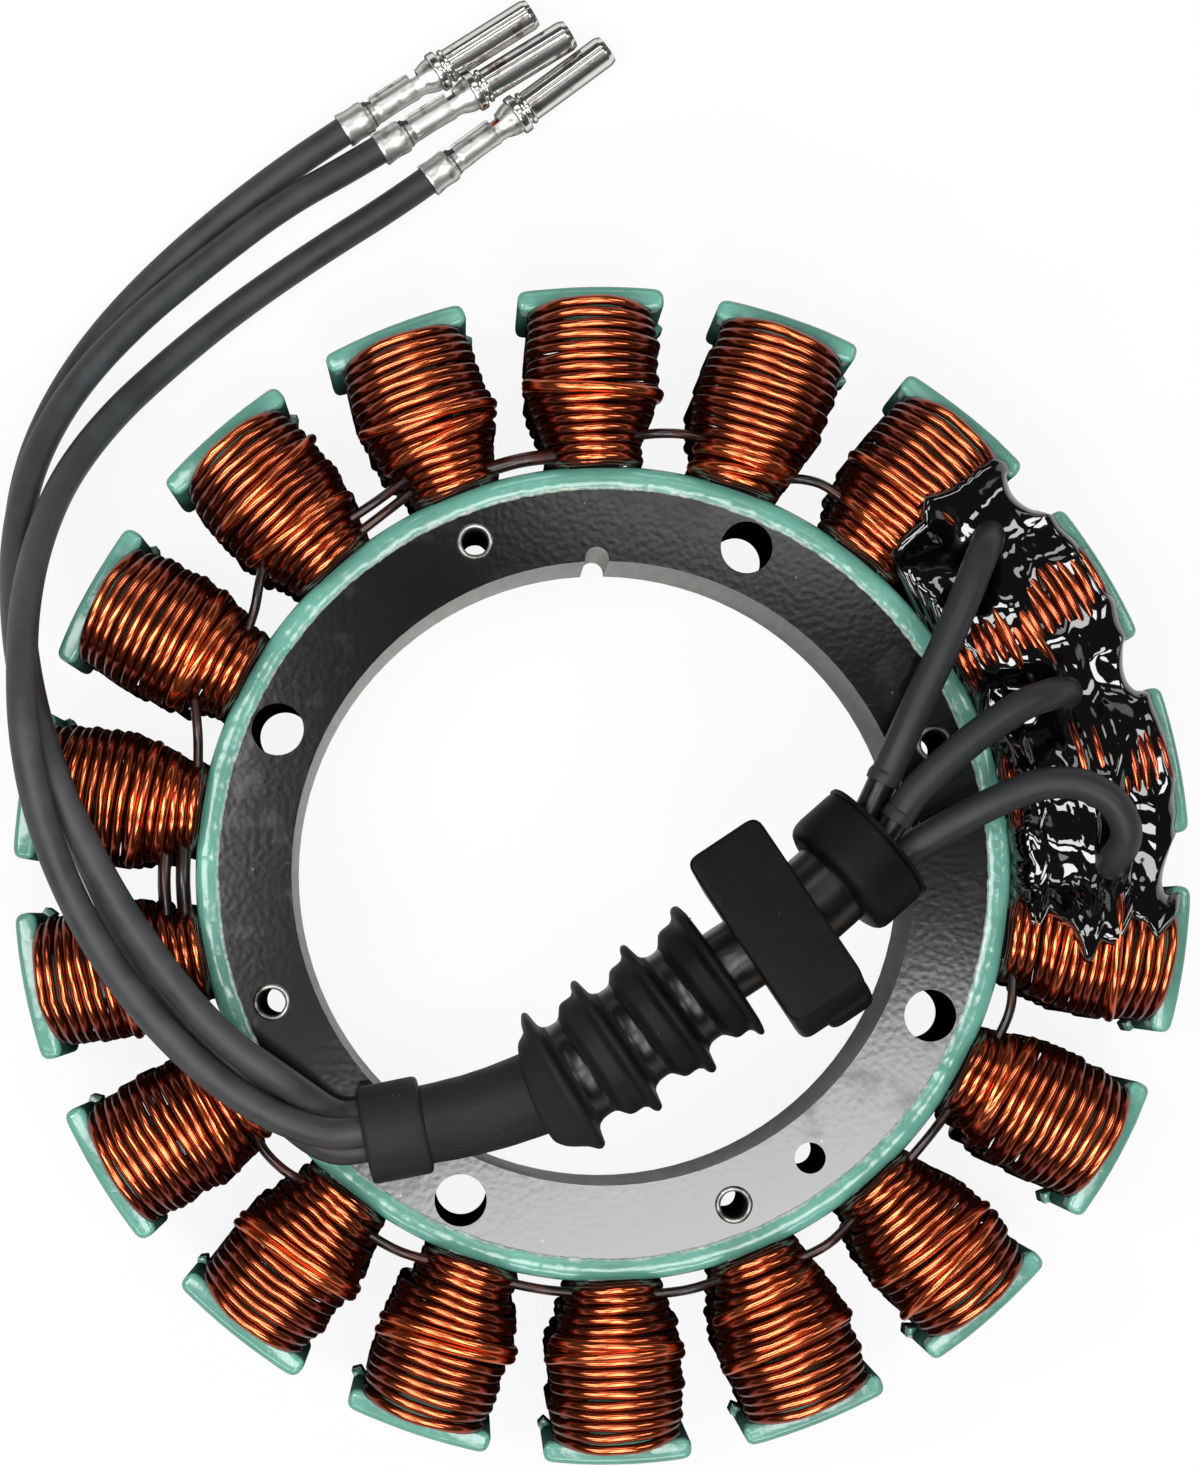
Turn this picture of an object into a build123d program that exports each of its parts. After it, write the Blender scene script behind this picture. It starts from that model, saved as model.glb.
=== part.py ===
# Wound stator of a small three-phase alternator with its short and long leads, in millimetres.
# The origin is the centre of the bore on the back face of the steel stack, +Z runs along the
# bore to the lead side, and +Y goes through the notch in the bore and the middle of tooth 1.
from build123d import *
from math import cos, pi, radians, sin, sqrt, tan
import os

# Steel stack
stack_t = 25.0
bore_r = 38.1
yoke_w = 11.3
teeth = 18
tooth_len = 22.1
tooth_w = 6.2
shoe_stem_t = 2.5
shoe_lip_t = 1.6
shoe_w = 17.2
notch_r = 1.46
notch_depth = 1.75

# Holes through the yoke, each with its distance in from the edge of the epoxy skin
# Angles are counter-clockwise from +X, seen from the lead side
mount_holes = 4
mount_hole_r = 3.175
mount_edge = 0.225
mount_angle = 65.0
plain_hole_r = 1.9
plain_hole_edge = 2.1
plain_hole_angle = -55.5

# Tubular rivets, set in holes of their own shank size
rivets = 4
rivet_edge = 1.2
rivet_angle = 20.0
rivet_shank_r = 1.85
rivet_bore_r = 1.2
rivet_mouth_r = 1.65
rivet_flange_r = 2.3
rivet_flange_t = 0.35

# Epoxy skin on the yoke's rim and the teeth
coat = 0.4
coat_band = 2.5
coat_corner_r = 0.95

# Windings: half widths across the tooth, heights of the heads above the coated stack, and
# shares of the winding's length at which it starts to widen, is widest and narrows again
turns = 16
turn_groove = 0.45
winding_gap = 0.05
winding_overhang = 0.27
root_half_w = 5.9
belly_half_w = 8.25
shoe_half_w = 7.5
root_end = 0.13
belly_start = 0.426
belly_end = 0.746
root_head = 4.5
belly_head = 5.1
shoe_head = 4.7
crown_flat = 0.4
crown_drop = 0.5

# Wire ends that cross the open gaps: angle of the gap, distance out from the windings' roots,
# wire radius
link_rise = 0.8
link_wire_r = 0.65
link_thick_r = 0.95
links = [
    (60, 3.85, link_wire_r),
    (80, 3.95, link_wire_r),
    (100, 1.35, link_thick_r),
    (120, 1.55, link_wire_r),
    (120, 3.35, link_wire_r),
    (140, 4.15, link_wire_r),
    (160, 2.35, link_wire_r),
    (180, 1.25, link_thick_r),
    (180, 3.55, link_thick_r),
    (200, 1.75, link_wire_r),
    (220, 3.05, link_wire_r),
    (240, 2.15, link_wire_r),
    (260, 1.15, link_wire_r),
    (280, 1.65, link_wire_r),
    (300, 2.45, link_wire_r),
    (320, 0.95, link_wire_r),
    (340, 1.85, link_wire_r),
]

# Resin poured over the windings on two teeth and into the three gaps beside them
resin_t = 0.85
resin_floor_z = 6.0
resin_fill_h = 3.1
resin_fill_edge = 2.3
resin_teeth = [30, 10]
resin_gaps = [40, 20, 0]
meniscus_r = 4.3
meniscus_out = 0.9

# Rubber moulding round the leads, from the short leads' collar to the long leads' collar
collar_1 = (29.9, 0.4, 34.2)
collar_1_r = 8.25
collar_1_len = 7.3
collar_1_round = 1.4
collar_1_edge = 0.5
neck_1_r = 5.5
block = (20.6, -7.4, 35.3)
block_len = 10.1
block_w = 23.6
block_h = 15.5
block_corner_r = 1.5
block_roll = 12.0
step_out = 0.9
step_len = 6.6
step_h = 5.0
neck_2_r = 4.6
ribs = [(13.0, -12.2, 35.0), (6.9, -16.6, 34.8), (0.6, -20.9, 34.7), (-5.9, -24.9, 34.6)]
rib_r = 9.4
rib_tip = 0.35
rib_foot = 0.75
rib_foot_r = 7.0
shoulder_r = 7.95
shoulder_start = 1.7
shoulder_end = 3.0
groove_start = 3.7
groove_edge_r = 6.9
groove_r = 6.4
groove_foot_r = 5.6
groove_slope = 1.1
last_rib_cone = 3.1
last_rib_cone_r = 6.6
last_rib_end = 3.4
last_rib_end_r = 6.2
bend = [(-9.1, -26.3, 34.3), (-15.8, -28.5, 33.0), (-21.8, -29.75, 31.7)]
bend_start_r = 5.1
bend_end_r = 4.7
collar_2 = (-26.1, -30.45, 31.1)
collar_2_r = 6.0
collar_2_len = 7.6
collar_2_edge = 0.8
collar_2_heading = 190.0

# Short leads: place on the first collar's face (left, up), and their routes to the resin
short_wire_r = 1.5
short_sleeve_r = 1.95
short_exits = [1.6, 1.6, 3.0]
sleeve_grip = 1.0
short_seats = [(3.4, 0.4), (0.2, 1.6), (-3.2, 0.1)]
short_mouths = [6.2, 3.8, 1.2]
short_routes = [
    [(35.9, 15.0, 34.6), (38.6, 20.7, 34.6), (41.8, 26.9, 34.4), (44.7, 33.5, 33.6),
     (47.0, 38.4, 31.5), (48.0, 40.1, 27.5)],
    [(37.1, 8.6, 35.5), (41.5, 12.7, 35.6), (45.9, 16.1, 35.2), (51.2, 19.3, 34.2),
     (55.1, 20.5, 32.0), (57.0, 20.6, 27.5)],
    [(42.2, 5.1, 34.5), (47.5, 7.6, 35.0), (52.6, 9.5, 35.2), (57.5, 9.4, 35.0),
     (61.7, 6.9, 34.4), (63.3, 2.9, 33.0), (61.7, -0.1, 30.5), (61.7, -0.5, 27.0)],
]

# Long leads: place on the second collar's face (left, up), first run, and their routes
lead_r = 1.9
lead_seats = [(1.35, -1.1), (-2.55, -1.1), (-0.75, 2.6)]
lead_exits = [2.2, 1.8, 2.6]
lead_routes = [
    [(-34.4, -32.4, 29.8), (-37.3, -30.5, 30.3), (-41.2, -26.6, 31.9), (-46.6, -21.1, 32.8),
     (-51.9, -15.2, 32.8), (-57.6, -6.7, 32.8), (-61.9, 2.9, 33.0), (-65.1, 10.7, 34.2),
     (-67.7, 18.2, 32.6), (-69.7, 25.6, 27.2), (-71.2, 33.6, 18.2), (-72.4, 42.6, 9.0),
     (-71.3, 53.4, 2.5), (-67.4, 63.0, -1.4), (-61.4, 71.6, -3.2), (-53.1, 80.0, -3.6),
     (-43.3, 87.9, -3.6)],
    [(-34.2, -28.1, 31.0), (-36.6, -26.2, 33.2), (-40.2, -23.4, 35.8), (-46.2, -19.0, 36.8),
     (-52.0, -12.2, 36.9), (-57.7, -3.9, 36.9), (-62.0, 4.2, 37.1), (-65.2, 11.6, 38.4),
     (-67.9, 19.0, 37.2), (-69.9, 26.8, 31.9), (-71.3, 34.8, 23.1), (-71.9, 43.6, 14.1),
     (-70.3, 53.6, 7.2), (-65.6, 63.0, 2.4), (-58.2, 71.4, 0.2), (-48.4, 79.5, -1.0),
     (-38.3, 87.0, -1.6)],
    [(-36.0, -30.1, 34.7), (-40.6, -28.2, 35.8), (-47.1, -24.0, 36.5), (-54.8, -16.2, 36.6),
     (-61.0, -7.6, 36.8), (-65.2, 1.6, 38.5), (-67.6, 10.0, 41.4), (-68.8, 18.6, 42.0),
     (-69.2, 26.8, 37.8), (-69.5, 34.4, 29.2), (-68.7, 42.6, 18.8), (-66.1, 51.2, 9.5),
     (-60.8, 59.4, 2.4), (-53.7, 66.6, -2.2), (-44.9, 73.8, -3.6), (-34.2, 80.9, -3.4)],
]

# Terminals: place of the crimp's rear edge on each long lead, and heading of the terminal
terminals = [
    ((-30.5, 96.4, -2.75), 31.3),
    ((-25.9, 93.8, -2.05), 30.5),
    ((-19.8, 89.8, -2.75), 35.4),
]
lead_run_in = 4.0
lead_grip = 4.2
crimp_wall = 0.3
crimp_len = 3.7
crimp_slot = 1.0
wire_crimp_start = 4.5
wire_crimp_taper = 0.8
wire_crimp_end = 10.8
wire_crimp_r = 1.65
saddle_end = 12.4
saddle_depth = 0.8
taper_end = 13.6
contact_r = 1.85
contact_bore_r = 1.6
contact_bore_depth = 10.0
contact_recess = 0.8
hood_start = 13.9
hood_len = 14.9
hood_r = 2.1
band_r = 2.7
band_len = 1.2
band_neck_r = 1.98
band_neck_len = 0.8
hood_gap = 0.02

# Worked out from the sizes above
tooth_pitch = 360 / teeth
first_tooth = 90
mid_z = stack_t / 2
coated_t = stack_t + 2 * coat
yoke_r = bore_r + yoke_w
tip_r = yoke_r + tooth_len
coat_inner_r = yoke_r - coat_band
mount_pitch_r = coat_inner_r - mount_edge - mount_hole_r
plain_hole_pitch_r = coat_inner_r - plain_hole_edge - plain_hole_r
rivet_pitch_r = coat_inner_r - rivet_edge - rivet_flange_r
shoe_root_r = tip_r - shoe_stem_t
shoe_lip_r = tip_r - shoe_lip_t
coil_root_r = yoke_r + coat + winding_gap
coil_end_r = shoe_lip_r + winding_overhang
coil_len = coil_end_r - coil_root_r
turn_pitch = coil_len / turns
root_end_r = coil_root_r + root_end * coil_len
belly_start_r = coil_root_r + belly_start * coil_len
belly_end_r = coil_root_r + belly_end * coil_len
os.makedirs("parts", exist_ok=True)


def save(shape, name):
    """Label a finished sub-part and write it to its own file."""
    shape.label = name
    export_step(shape, f"parts/{name}.step")


def tooth_outline(grow=0.0, corner_r=0.0):
    """One tooth with its shoe, pointing along +X, every edge moved out by grow."""
    stem = tooth_w / 2 + grow
    shoe = shoe_w / 2 + grow
    tip = tip_r + grow
    root_x = sqrt((shoe_root_r - grow) ** 2 - stem**2)
    lip_x = sqrt((shoe_lip_r - grow) ** 2 - shoe**2)
    end_x = sqrt(tip**2 - shoe**2)
    start_x = (coat_inner_r + yoke_r) / 2
    with BuildSketch() as outline:
        with BuildLine():
            Polyline((end_x, -shoe), (lip_x, -shoe), (root_x, -stem), (start_x, -stem), (start_x, stem),
                     (root_x, stem), (lip_x, shoe), (end_x, shoe))
            ThreePointArc((end_x, shoe), (tip, 0), (end_x, -shoe))
        make_face()
        if corner_r:
            fillet(outline.vertices().group_by(SortBy.DISTANCE)[-1], corner_r)
    return outline.sketch


def stack_outline(grow=0.0, corner_r=0.0):
    """The yoke's disc and all the teeth."""
    with BuildSketch() as outline:
        Circle(yoke_r + grow)
        with PolarLocations(0, teeth, start_angle=first_tooth):
            add(tooth_outline(grow, corner_r))
    return outline.sketch


def radial(distance, angle):
    """The point at that distance from the bore's axis, at that angle."""
    return (distance * cos(radians(angle)), distance * sin(radians(angle)))


# Steel core
with BuildPart() as core:
    with BuildSketch():
        add(stack_outline())
        Circle(bore_r, mode=Mode.SUBTRACT)
        with Locations((0, bore_r)):
            SlotCenterPoint((0, 0), (0, notch_depth - notch_r), 2 * notch_r, mode=Mode.SUBTRACT)
        with PolarLocations(mount_pitch_r, mount_holes, start_angle=mount_angle):
            Circle(mount_hole_r, mode=Mode.SUBTRACT)
        with PolarLocations(rivet_pitch_r, rivets, start_angle=rivet_angle):
            Circle(rivet_shank_r, mode=Mode.SUBTRACT)
        with Locations(radial(plain_hole_pitch_r, plain_hole_angle)):
            Circle(plain_hole_r, mode=Mode.SUBTRACT)
    extrude(amount=stack_t)
save(core.part, "stator_core")

# Epoxy skin, open inside the ring where the yoke's faces are bare
with BuildPart() as coating:
    with BuildSketch(Plane.XY.offset(-coat)):
        add(stack_outline(coat, coat_corner_r))
        Circle(coat_inner_r, mode=Mode.SUBTRACT)
    extrude(amount=coated_t)
    with BuildSketch():
        add(stack_outline())
    extrude(amount=stack_t, mode=Mode.SUBTRACT)
save(coating.part, "epoxy_coating")

# Tubular rivets, flanged on both faces of the yoke
for n in range(rivets):
    rivet_x, rivet_y = radial(rivet_pitch_r, rivet_angle + n * 360 / rivets)
    rivet_plane = Plane(origin=(rivet_x, rivet_y, 0), x_dir=(1, 0, 0), z_dir=(0, -1, 0))
    with BuildPart() as rivet:
        with BuildSketch(rivet_plane):
            with BuildLine():
                Polyline((rivet_mouth_r, -rivet_flange_t), (rivet_flange_r, -rivet_flange_t),
                         (rivet_flange_r, 0), (rivet_shank_r, 0), (rivet_shank_r, stack_t),
                         (rivet_flange_r, stack_t), (rivet_flange_r, stack_t + rivet_flange_t),
                         (rivet_mouth_r, stack_t + rivet_flange_t),
                         (rivet_bore_r, stack_t - rivet_flange_t), (rivet_bore_r, rivet_flange_t),
                         close=True)
            make_face()
        revolve(axis=Axis((rivet_x, rivet_y, 0), (0, 0, 1)))
    save(rivet.part, f"rivet_{n + 1}")


def between(r, root, belly, shoe):
    """A size of the winding at radius r, from its values at the root, the belly and the shoe."""
    if r <= root_end_r:
        return root
    if r < belly_start_r:
        return root + (belly - root) * (r - root_end_r) / (belly_start_r - root_end_r)
    if r <= belly_end_r:
        return belly
    return belly + (shoe - belly) * (r - belly_end_r) / (coil_end_r - belly_end_r)


def winding_section(r, grow):
    """Eight-sided section of a winding on the tooth along +Y, moved out by grow."""
    half_w = between(r, root_half_w, belly_half_w, shoe_half_w) + grow
    half_h = coated_t / 2 + between(r, root_head, belly_head, shoe_head) + grow
    flat = crown_flat * half_w
    side_h = half_h - crown_drop * half_w
    with BuildSketch(Plane(origin=(0, r, mid_z), x_dir=(1, 0, 0), z_dir=(0, 1, 0))) as section:
        Polygon((flat, half_h), (half_w, side_h), (half_w, -side_h), (flat, -half_h),
                (-flat, -half_h), (-half_w, -side_h), (-half_w, side_h), (-flat, half_h), align=None)
    return section.sketch


def envelope(grow):
    """Smooth solid round the winding on the tooth along +Y, moved out by grow."""
    stations = (coil_root_r, root_end_r, belly_start_r, belly_end_r, coil_end_r + grow)
    with BuildPart() as body:
        loft([winding_section(r, grow) for r in stations], ruled=True)
    return body.part


# One winding: a crest for each turn, a groove between turns, and the coated tooth cut out of it
with BuildPart() as coil:
    sections = []
    for half_turn in range(2 * turns + 1):
        is_crest = half_turn % 2 == 1
        section_r = coil_root_r + half_turn * turn_pitch / 2
        sections.append(winding_section(section_r, 0 if is_crest else -turn_groove))
    loft(sections, ruled=True)
    with BuildSketch(Plane.XY.offset(-coat)):
        add(tooth_outline(coat, coat_corner_r), rotation=first_tooth)
    extrude(amount=coated_t, mode=Mode.SUBTRACT)

for n in range(teeth):
    with BuildPart() as turned_coil:
        add(coil.part, rotation=(0, 0, n * tooth_pitch))
    save(turned_coil.part, f"coil_{n + 1:02d}")


def neighbours(gap_angle):
    """Turns about Z, from tooth 1, of the two teeth beside a gap."""
    return (gap_angle - tooth_pitch / 2 - first_tooth, gap_angle + tooth_pitch / 2 - first_tooth)


# Wire ends that cross the open gaps, each trimmed by the windings on both sides
for n, (gap_angle, out, wire_r) in enumerate(links):
    link_r = coil_root_r + out
    link_x, link_y = radial(link_r, gap_angle)
    across = (-sin(radians(gap_angle)), cos(radians(gap_angle)), 0)
    reach = link_r * tan(radians(tooth_pitch / 2))
    height = stack_t + coat + max(link_rise, winding_gap + wire_r)
    with BuildPart() as link:
        with BuildSketch(Plane(origin=(link_x, link_y, height), z_dir=across)):
            RegularPolygon(wire_r, 8)
        extrude(amount=reach, both=True)
        for turn in neighbours(gap_angle):
            add(envelope(0), rotation=(0, 0, turn), mode=Mode.SUBTRACT)
    save(link.part, f"link_wire_{n + 1:02d}")


def plane_along(point, next_point):
    """Plane at a point, square to the way to the next one, with x to the left and y up."""
    way = Vector(*next_point) - Vector(*point)
    return Plane(origin=point, x_dir=(-way.Y, way.X, 0), z_dir=way)


def plane_heading(point, angle):
    """Plane at a point, square to a level heading, with x to the left and y up."""
    a = radians(angle)
    return Plane(origin=point, x_dir=(-sin(a), cos(a), 0), z_dir=(cos(a), sin(a), 0))


def place(plane, left, up, ahead=0.0):
    """The point at those distances in a plane's own directions."""
    return plane.from_local_coords((left, up, ahead))


def span(p, q):
    """Distance between two points."""
    return (Vector(*q) - Vector(*p)).length


def rod(plane, radius, start, end, mode=Mode.ADD):
    """Cylinder along a plane's normal, from start to end."""
    with BuildSketch(plane.offset(start)) as face:
        Circle(radius)
    extrude(face.sketch, amount=end - start, mode=mode)


def lathe(plane, points):
    """Turn a profile of (distance along the normal, radius) points about a plane's normal."""
    with BuildSketch(Plane(origin=plane.origin, x_dir=plane.z_dir, z_dir=plane.x_dir * -1)) as face:
        with BuildLine():
            Polyline(*points, close=True)
        make_face()
    revolve(face.sketch, axis=Axis(plane.origin, plane.z_dir))


def corner_radii(points):
    """Largest even radii for the corners of a route: 0.45 of the shorter run at each."""
    radii = []
    for p, q, r in zip(points, points[1:], points[2:]):
        before = Vector(*q) - Vector(*p)
        after = Vector(*r) - Vector(*q)
        turn = radians(before.get_angle(after))
        radii.append(0.45 * min(before.length, after.length) / tan(turn / 2))
    return radii


def tube(points, radius):
    """Round tube along a route of straight runs joined by tangent arcs."""
    with BuildPart() as body:
        with BuildLine() as route:
            if len(points) > 2:
                FilletPolyline(*points, radius=corner_radii(points))
            else:
                Line(*points)
        with BuildSketch(Plane(origin=route.line @ 0, z_dir=route.line % 0)):
            Circle(radius)
        sweep(path=route.line)
    return body.part


# Rubber moulding, one piece
collar_1_plane = plane_along(collar_1, block)
block_plane = plane_along(block, ribs[0])
rib_planes = [plane_along(p, q) for p, q in zip(ribs, ribs[1:] + bend[:1])]
collar_2_plane = plane_heading(collar_2, collar_2_heading)
half_1 = collar_1_len / 2
half_2 = collar_2_len / 2
fin = [(-rib_foot - groove_slope, 0), (-rib_foot - groove_slope, groove_foot_r), (-rib_foot, rib_foot_r),
       (-rib_tip, rib_r), (rib_tip, rib_r)]
shoulder = [(shoulder_start, shoulder_r), (shoulder_end, shoulder_r), (groove_start, groove_edge_r),
            (groove_start + groove_slope, groove_foot_r), (groove_start + groove_slope, 0)]
last_cone = [(last_rib_cone, last_rib_cone_r), (last_rib_end, last_rib_end_r), (last_rib_end, 0)]

# The block's own up leans over by its roll, so its outer end face looks up
roll = radians(block_roll)
block_up = block_plane.y_dir * cos(roll) - block_plane.x_dir * sin(roll)
block_top = Plane(origin=block, x_dir=block_plane.z_dir, z_dir=block_up)

with BuildPart() as grommet:
    lathe(collar_1_plane, [(-half_1, 0), (-half_1, collar_1_r - collar_1_edge),
                           (collar_1_edge - half_1, collar_1_r), (half_1 - collar_1_round, collar_1_r),
                           (half_1, collar_1_r - collar_1_round), (half_1, 0)])
    rod(collar_1_plane, neck_1_r, 0, span(collar_1, block))
    with BuildSketch(block_top.offset(-block_h / 2)):
        RectangleRounded(block_len, block_w, block_corner_r)
    extrude(amount=block_h)
    with BuildSketch(block_top.offset(-block_h / 2)):
        with Locations(((step_len - block_len) / 2, step_out / 2)):
            RectangleRounded(step_len, block_w + step_out, block_corner_r)
    extrude(amount=step_h)
    rod(block_plane, neck_2_r, 0, span(block, ribs[0]))
    for rib_plane in rib_planes[:-1]:
        lathe(rib_plane, fin + shoulder)
    lathe(rib_planes[-1], fin + last_cone)
    for p, q in zip(ribs, ribs[1:]):
        rod(plane_along(p, q), groove_r, 0, span(p, q))
    centres = [ribs[-1]] + bend + [collar_2]
    rings = []
    for n, centre in enumerate(centres):
        ring_plane = plane_along(centres[max(n - 1, 0)], centres[min(n + 1, len(centres) - 1)])
        with BuildSketch(Plane(origin=centre, x_dir=ring_plane.x_dir, z_dir=ring_plane.z_dir)) as ring:
            Circle(bend_start_r + (bend_end_r - bend_start_r) * n / (len(centres) - 1))
        rings.append(ring.sketch)
    loft(rings)
    lathe(collar_2_plane, [(-half_2, 0), (-half_2, collar_2_r - collar_2_edge),
                           (collar_2_edge - half_2, collar_2_r), (half_2 - collar_2_edge, collar_2_r),
                           (half_2, collar_2_r - collar_2_edge), (half_2, 0)])
save(grommet.part, "lead_grommet")

# Short leads: a wire out of the first collar, gripped in the mouth of its sleeve
short_face = Plane(origin=place(collar_1_plane, 0, 0, -half_1), x_dir=collar_1_plane.x_dir * -1,
                   z_dir=collar_1_plane.z_dir * -1)
short_sleeves = []
for n, (seat, exit_run, mouth, way) in enumerate(zip(short_seats, short_exits, short_mouths, short_routes)):
    route = [place(short_face, *seat), place(short_face, *seat, exit_run)] + [Vector(*p) for p in way]
    run = 1 if mouth > exit_run else 0
    run_plane = plane_along(route[run], route[run + 1])
    along = mouth - run * exit_run
    mouth_point = place(run_plane, 0, 0, along)
    wire_end = place(run_plane, 0, 0, along + sleeve_grip)
    save(tube(route[:run + 1] + [wire_end], short_wire_r), f"short_wire_{n + 1}")
    with BuildPart() as sleeve:
        add(tube([mouth_point] + route[run + 1:], short_sleeve_r))
        rod(run_plane, short_wire_r, along - sleeve_grip, along + sleeve_grip, mode=Mode.SUBTRACT)
    short_sleeves.append(sleeve.part)
    save(sleeve.part, f"short_sleeve_{n + 1}")

# Long leads, from the second collar's face into the crimps of their terminals
long_face = collar_2_plane.offset(half_2)
for n, (seat, exit_run, way) in enumerate(zip(lead_seats, lead_exits, lead_routes)):
    crimp_plane = plane_heading(*terminals[n])
    route = [place(long_face, *seat), place(long_face, *seat, exit_run)] + [Vector(*p) for p in way]
    route += [place(crimp_plane, 0, 0, -lead_run_in), place(crimp_plane, 0, 0, lead_grip)]
    lead = tube(route, lead_r)
    radii = [round(radius, 1) for radius in corner_radii(route)]
    print(f"lead_{n + 1} arcs", radii, "length", round(lead.volume / (pi * lead_r**2), 1))
    save(lead, f"lead_{n + 1}")

# Terminals: a crimped contact in a round hood with a band
crimp_r = lead_r + crimp_wall
contact_end = hood_start + hood_len - contact_recess
for n, terminal in enumerate(terminals):
    axis = plane_heading(*terminal)
    with BuildPart() as contact:
        rod(axis, crimp_r, 0, wire_crimp_start)
        rod(axis, lead_r, 0, wire_crimp_start, mode=Mode.SUBTRACT)
        with BuildSketch(axis.offset(crimp_len)) as window:
            with Locations((0, crimp_r)):
                Rectangle(2 * crimp_r, 2 * crimp_r)
        extrude(window.sketch, amount=wire_crimp_start - crimp_len, mode=Mode.SUBTRACT)
        with BuildSketch(axis) as slot:
            with Locations((0, crimp_r)):
                Rectangle(crimp_slot, 2 * crimp_r)
        extrude(slot.sketch, amount=crimp_len, mode=Mode.SUBTRACT)
        lathe(axis, [(wire_crimp_start, 0), (wire_crimp_start, crimp_r),
                     (wire_crimp_start + wire_crimp_taper, wire_crimp_r), (saddle_end, wire_crimp_r),
                     (taper_end, contact_r), (contact_end, contact_r),
                     (contact_end, contact_bore_r), (contact_end - contact_bore_depth, contact_bore_r),
                     (contact_end - contact_bore_depth, 0)])
        with BuildSketch(axis.offset(wire_crimp_end)) as saddle:
            with Locations((0, wire_crimp_r)):
                Rectangle(2 * wire_crimp_r, 2 * saddle_depth)
        extrude(saddle.sketch, amount=saddle_end - wire_crimp_end, mode=Mode.SUBTRACT)
    save(contact.part, f"terminal_contact_{n + 1}")
    neck_start = hood_start + band_len
    hood_bore_r = contact_r + hood_gap
    with BuildPart() as hood:
        lathe(axis, [(hood_start, hood_bore_r), (hood_start, band_r), (neck_start, band_r),
                     (neck_start, band_neck_r), (neck_start + band_neck_len, band_neck_r),
                     (neck_start + band_neck_len, hood_r), (hood_start + hood_len, hood_r),
                     (hood_start + hood_len, hood_bore_r)])
    save(hood.part, f"terminal_hood_{n + 1}")

# Resin over two windings and half of the next two, down into the gaps between them
side_teeth = [resin_gaps[0] + tooth_pitch / 2, resin_gaps[-1] - tooth_pitch / 2]
with BuildPart() as resin:
    for angle in resin_teeth + side_teeth:
        add(envelope(resin_t), rotation=(0, 0, angle - first_tooth))
    with BuildSketch() as fill:
        for angle in resin_gaps:
            from_angle, to_angle = angle - tooth_pitch / 2, angle + tooth_pitch / 2
            with BuildLine():
                Polyline(radial(yoke_r, from_angle), radial(tip_r - resin_fill_edge, from_angle),
                         radial(tip_r - resin_fill_edge, to_angle), radial(yoke_r, to_angle), close=True)
            make_face()
        for angle in resin_gaps:
            with Locations(radial(tip_r + meniscus_out, angle)):
                Circle(meniscus_r, mode=Mode.SUBTRACT)
    extrude(fill.sketch, amount=stack_t + coat + resin_fill_h)
    with BuildSketch(Plane.XY.offset(resin_floor_z)) as sector:
        with BuildLine():
            Polyline((0, 0), radial(2 * tip_r, side_teeth[1]), radial(2 * tip_r, resin_gaps[1]),
                     radial(2 * tip_r, side_teeth[0]), close=True)
        make_face()
    extrude(sector.sketch, amount=2 * stack_t, mode=Mode.INTERSECT)
    with BuildSketch() as coated:
        Circle(yoke_r + coat)
        for angle in resin_teeth + side_teeth:
            add(tooth_outline(coat, coat_corner_r), rotation=angle)
    extrude(coated.sketch, amount=stack_t + coat, mode=Mode.SUBTRACT)
    for angle in resin_teeth + side_teeth:
        add(envelope(0), rotation=(0, 0, angle - first_tooth), mode=Mode.SUBTRACT)
    for sleeve_part in short_sleeves:
        add(sleeve_part, mode=Mode.SUBTRACT)
save(resin.part, "potting_resin")
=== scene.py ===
import math
import random

import bpy
import numpy as np
from bpy.props import FloatProperty, FloatVectorProperty, IntProperty, PointerProperty
from bpy.types import Operator, Panel, PropertyGroup
from mathutils import Matrix, Vector, noise


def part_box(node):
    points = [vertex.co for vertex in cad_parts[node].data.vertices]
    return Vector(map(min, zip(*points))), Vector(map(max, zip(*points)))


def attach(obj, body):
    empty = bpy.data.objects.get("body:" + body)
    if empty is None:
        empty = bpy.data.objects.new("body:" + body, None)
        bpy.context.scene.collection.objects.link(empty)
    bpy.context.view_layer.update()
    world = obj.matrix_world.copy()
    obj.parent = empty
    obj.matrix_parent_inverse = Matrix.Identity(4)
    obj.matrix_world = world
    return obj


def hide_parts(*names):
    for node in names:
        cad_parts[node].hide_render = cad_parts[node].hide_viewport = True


bl_info = {
    "name": "Wound Stator",
    "version": (1, 0, 0),
    "blender": (4, 5, 0),
    "location": "View3D > Sidebar > Stator",
    "description": "Dresses the frame of a wound stator with its windings, resin, leads and "
                   "terminals",
    "category": "Object",
}

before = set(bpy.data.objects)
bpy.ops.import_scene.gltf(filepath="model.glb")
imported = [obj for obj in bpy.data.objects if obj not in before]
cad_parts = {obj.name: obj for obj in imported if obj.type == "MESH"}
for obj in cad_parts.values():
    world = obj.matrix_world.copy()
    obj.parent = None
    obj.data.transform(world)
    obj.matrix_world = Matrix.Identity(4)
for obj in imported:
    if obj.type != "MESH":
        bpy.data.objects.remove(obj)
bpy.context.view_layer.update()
MM = 0.001
TAU = 2 * math.pi


def box_mm(node):
    """Lowest and highest corner of a CAD node, in millimetres."""
    low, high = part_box(node)
    return low / MM, high / MM


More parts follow.
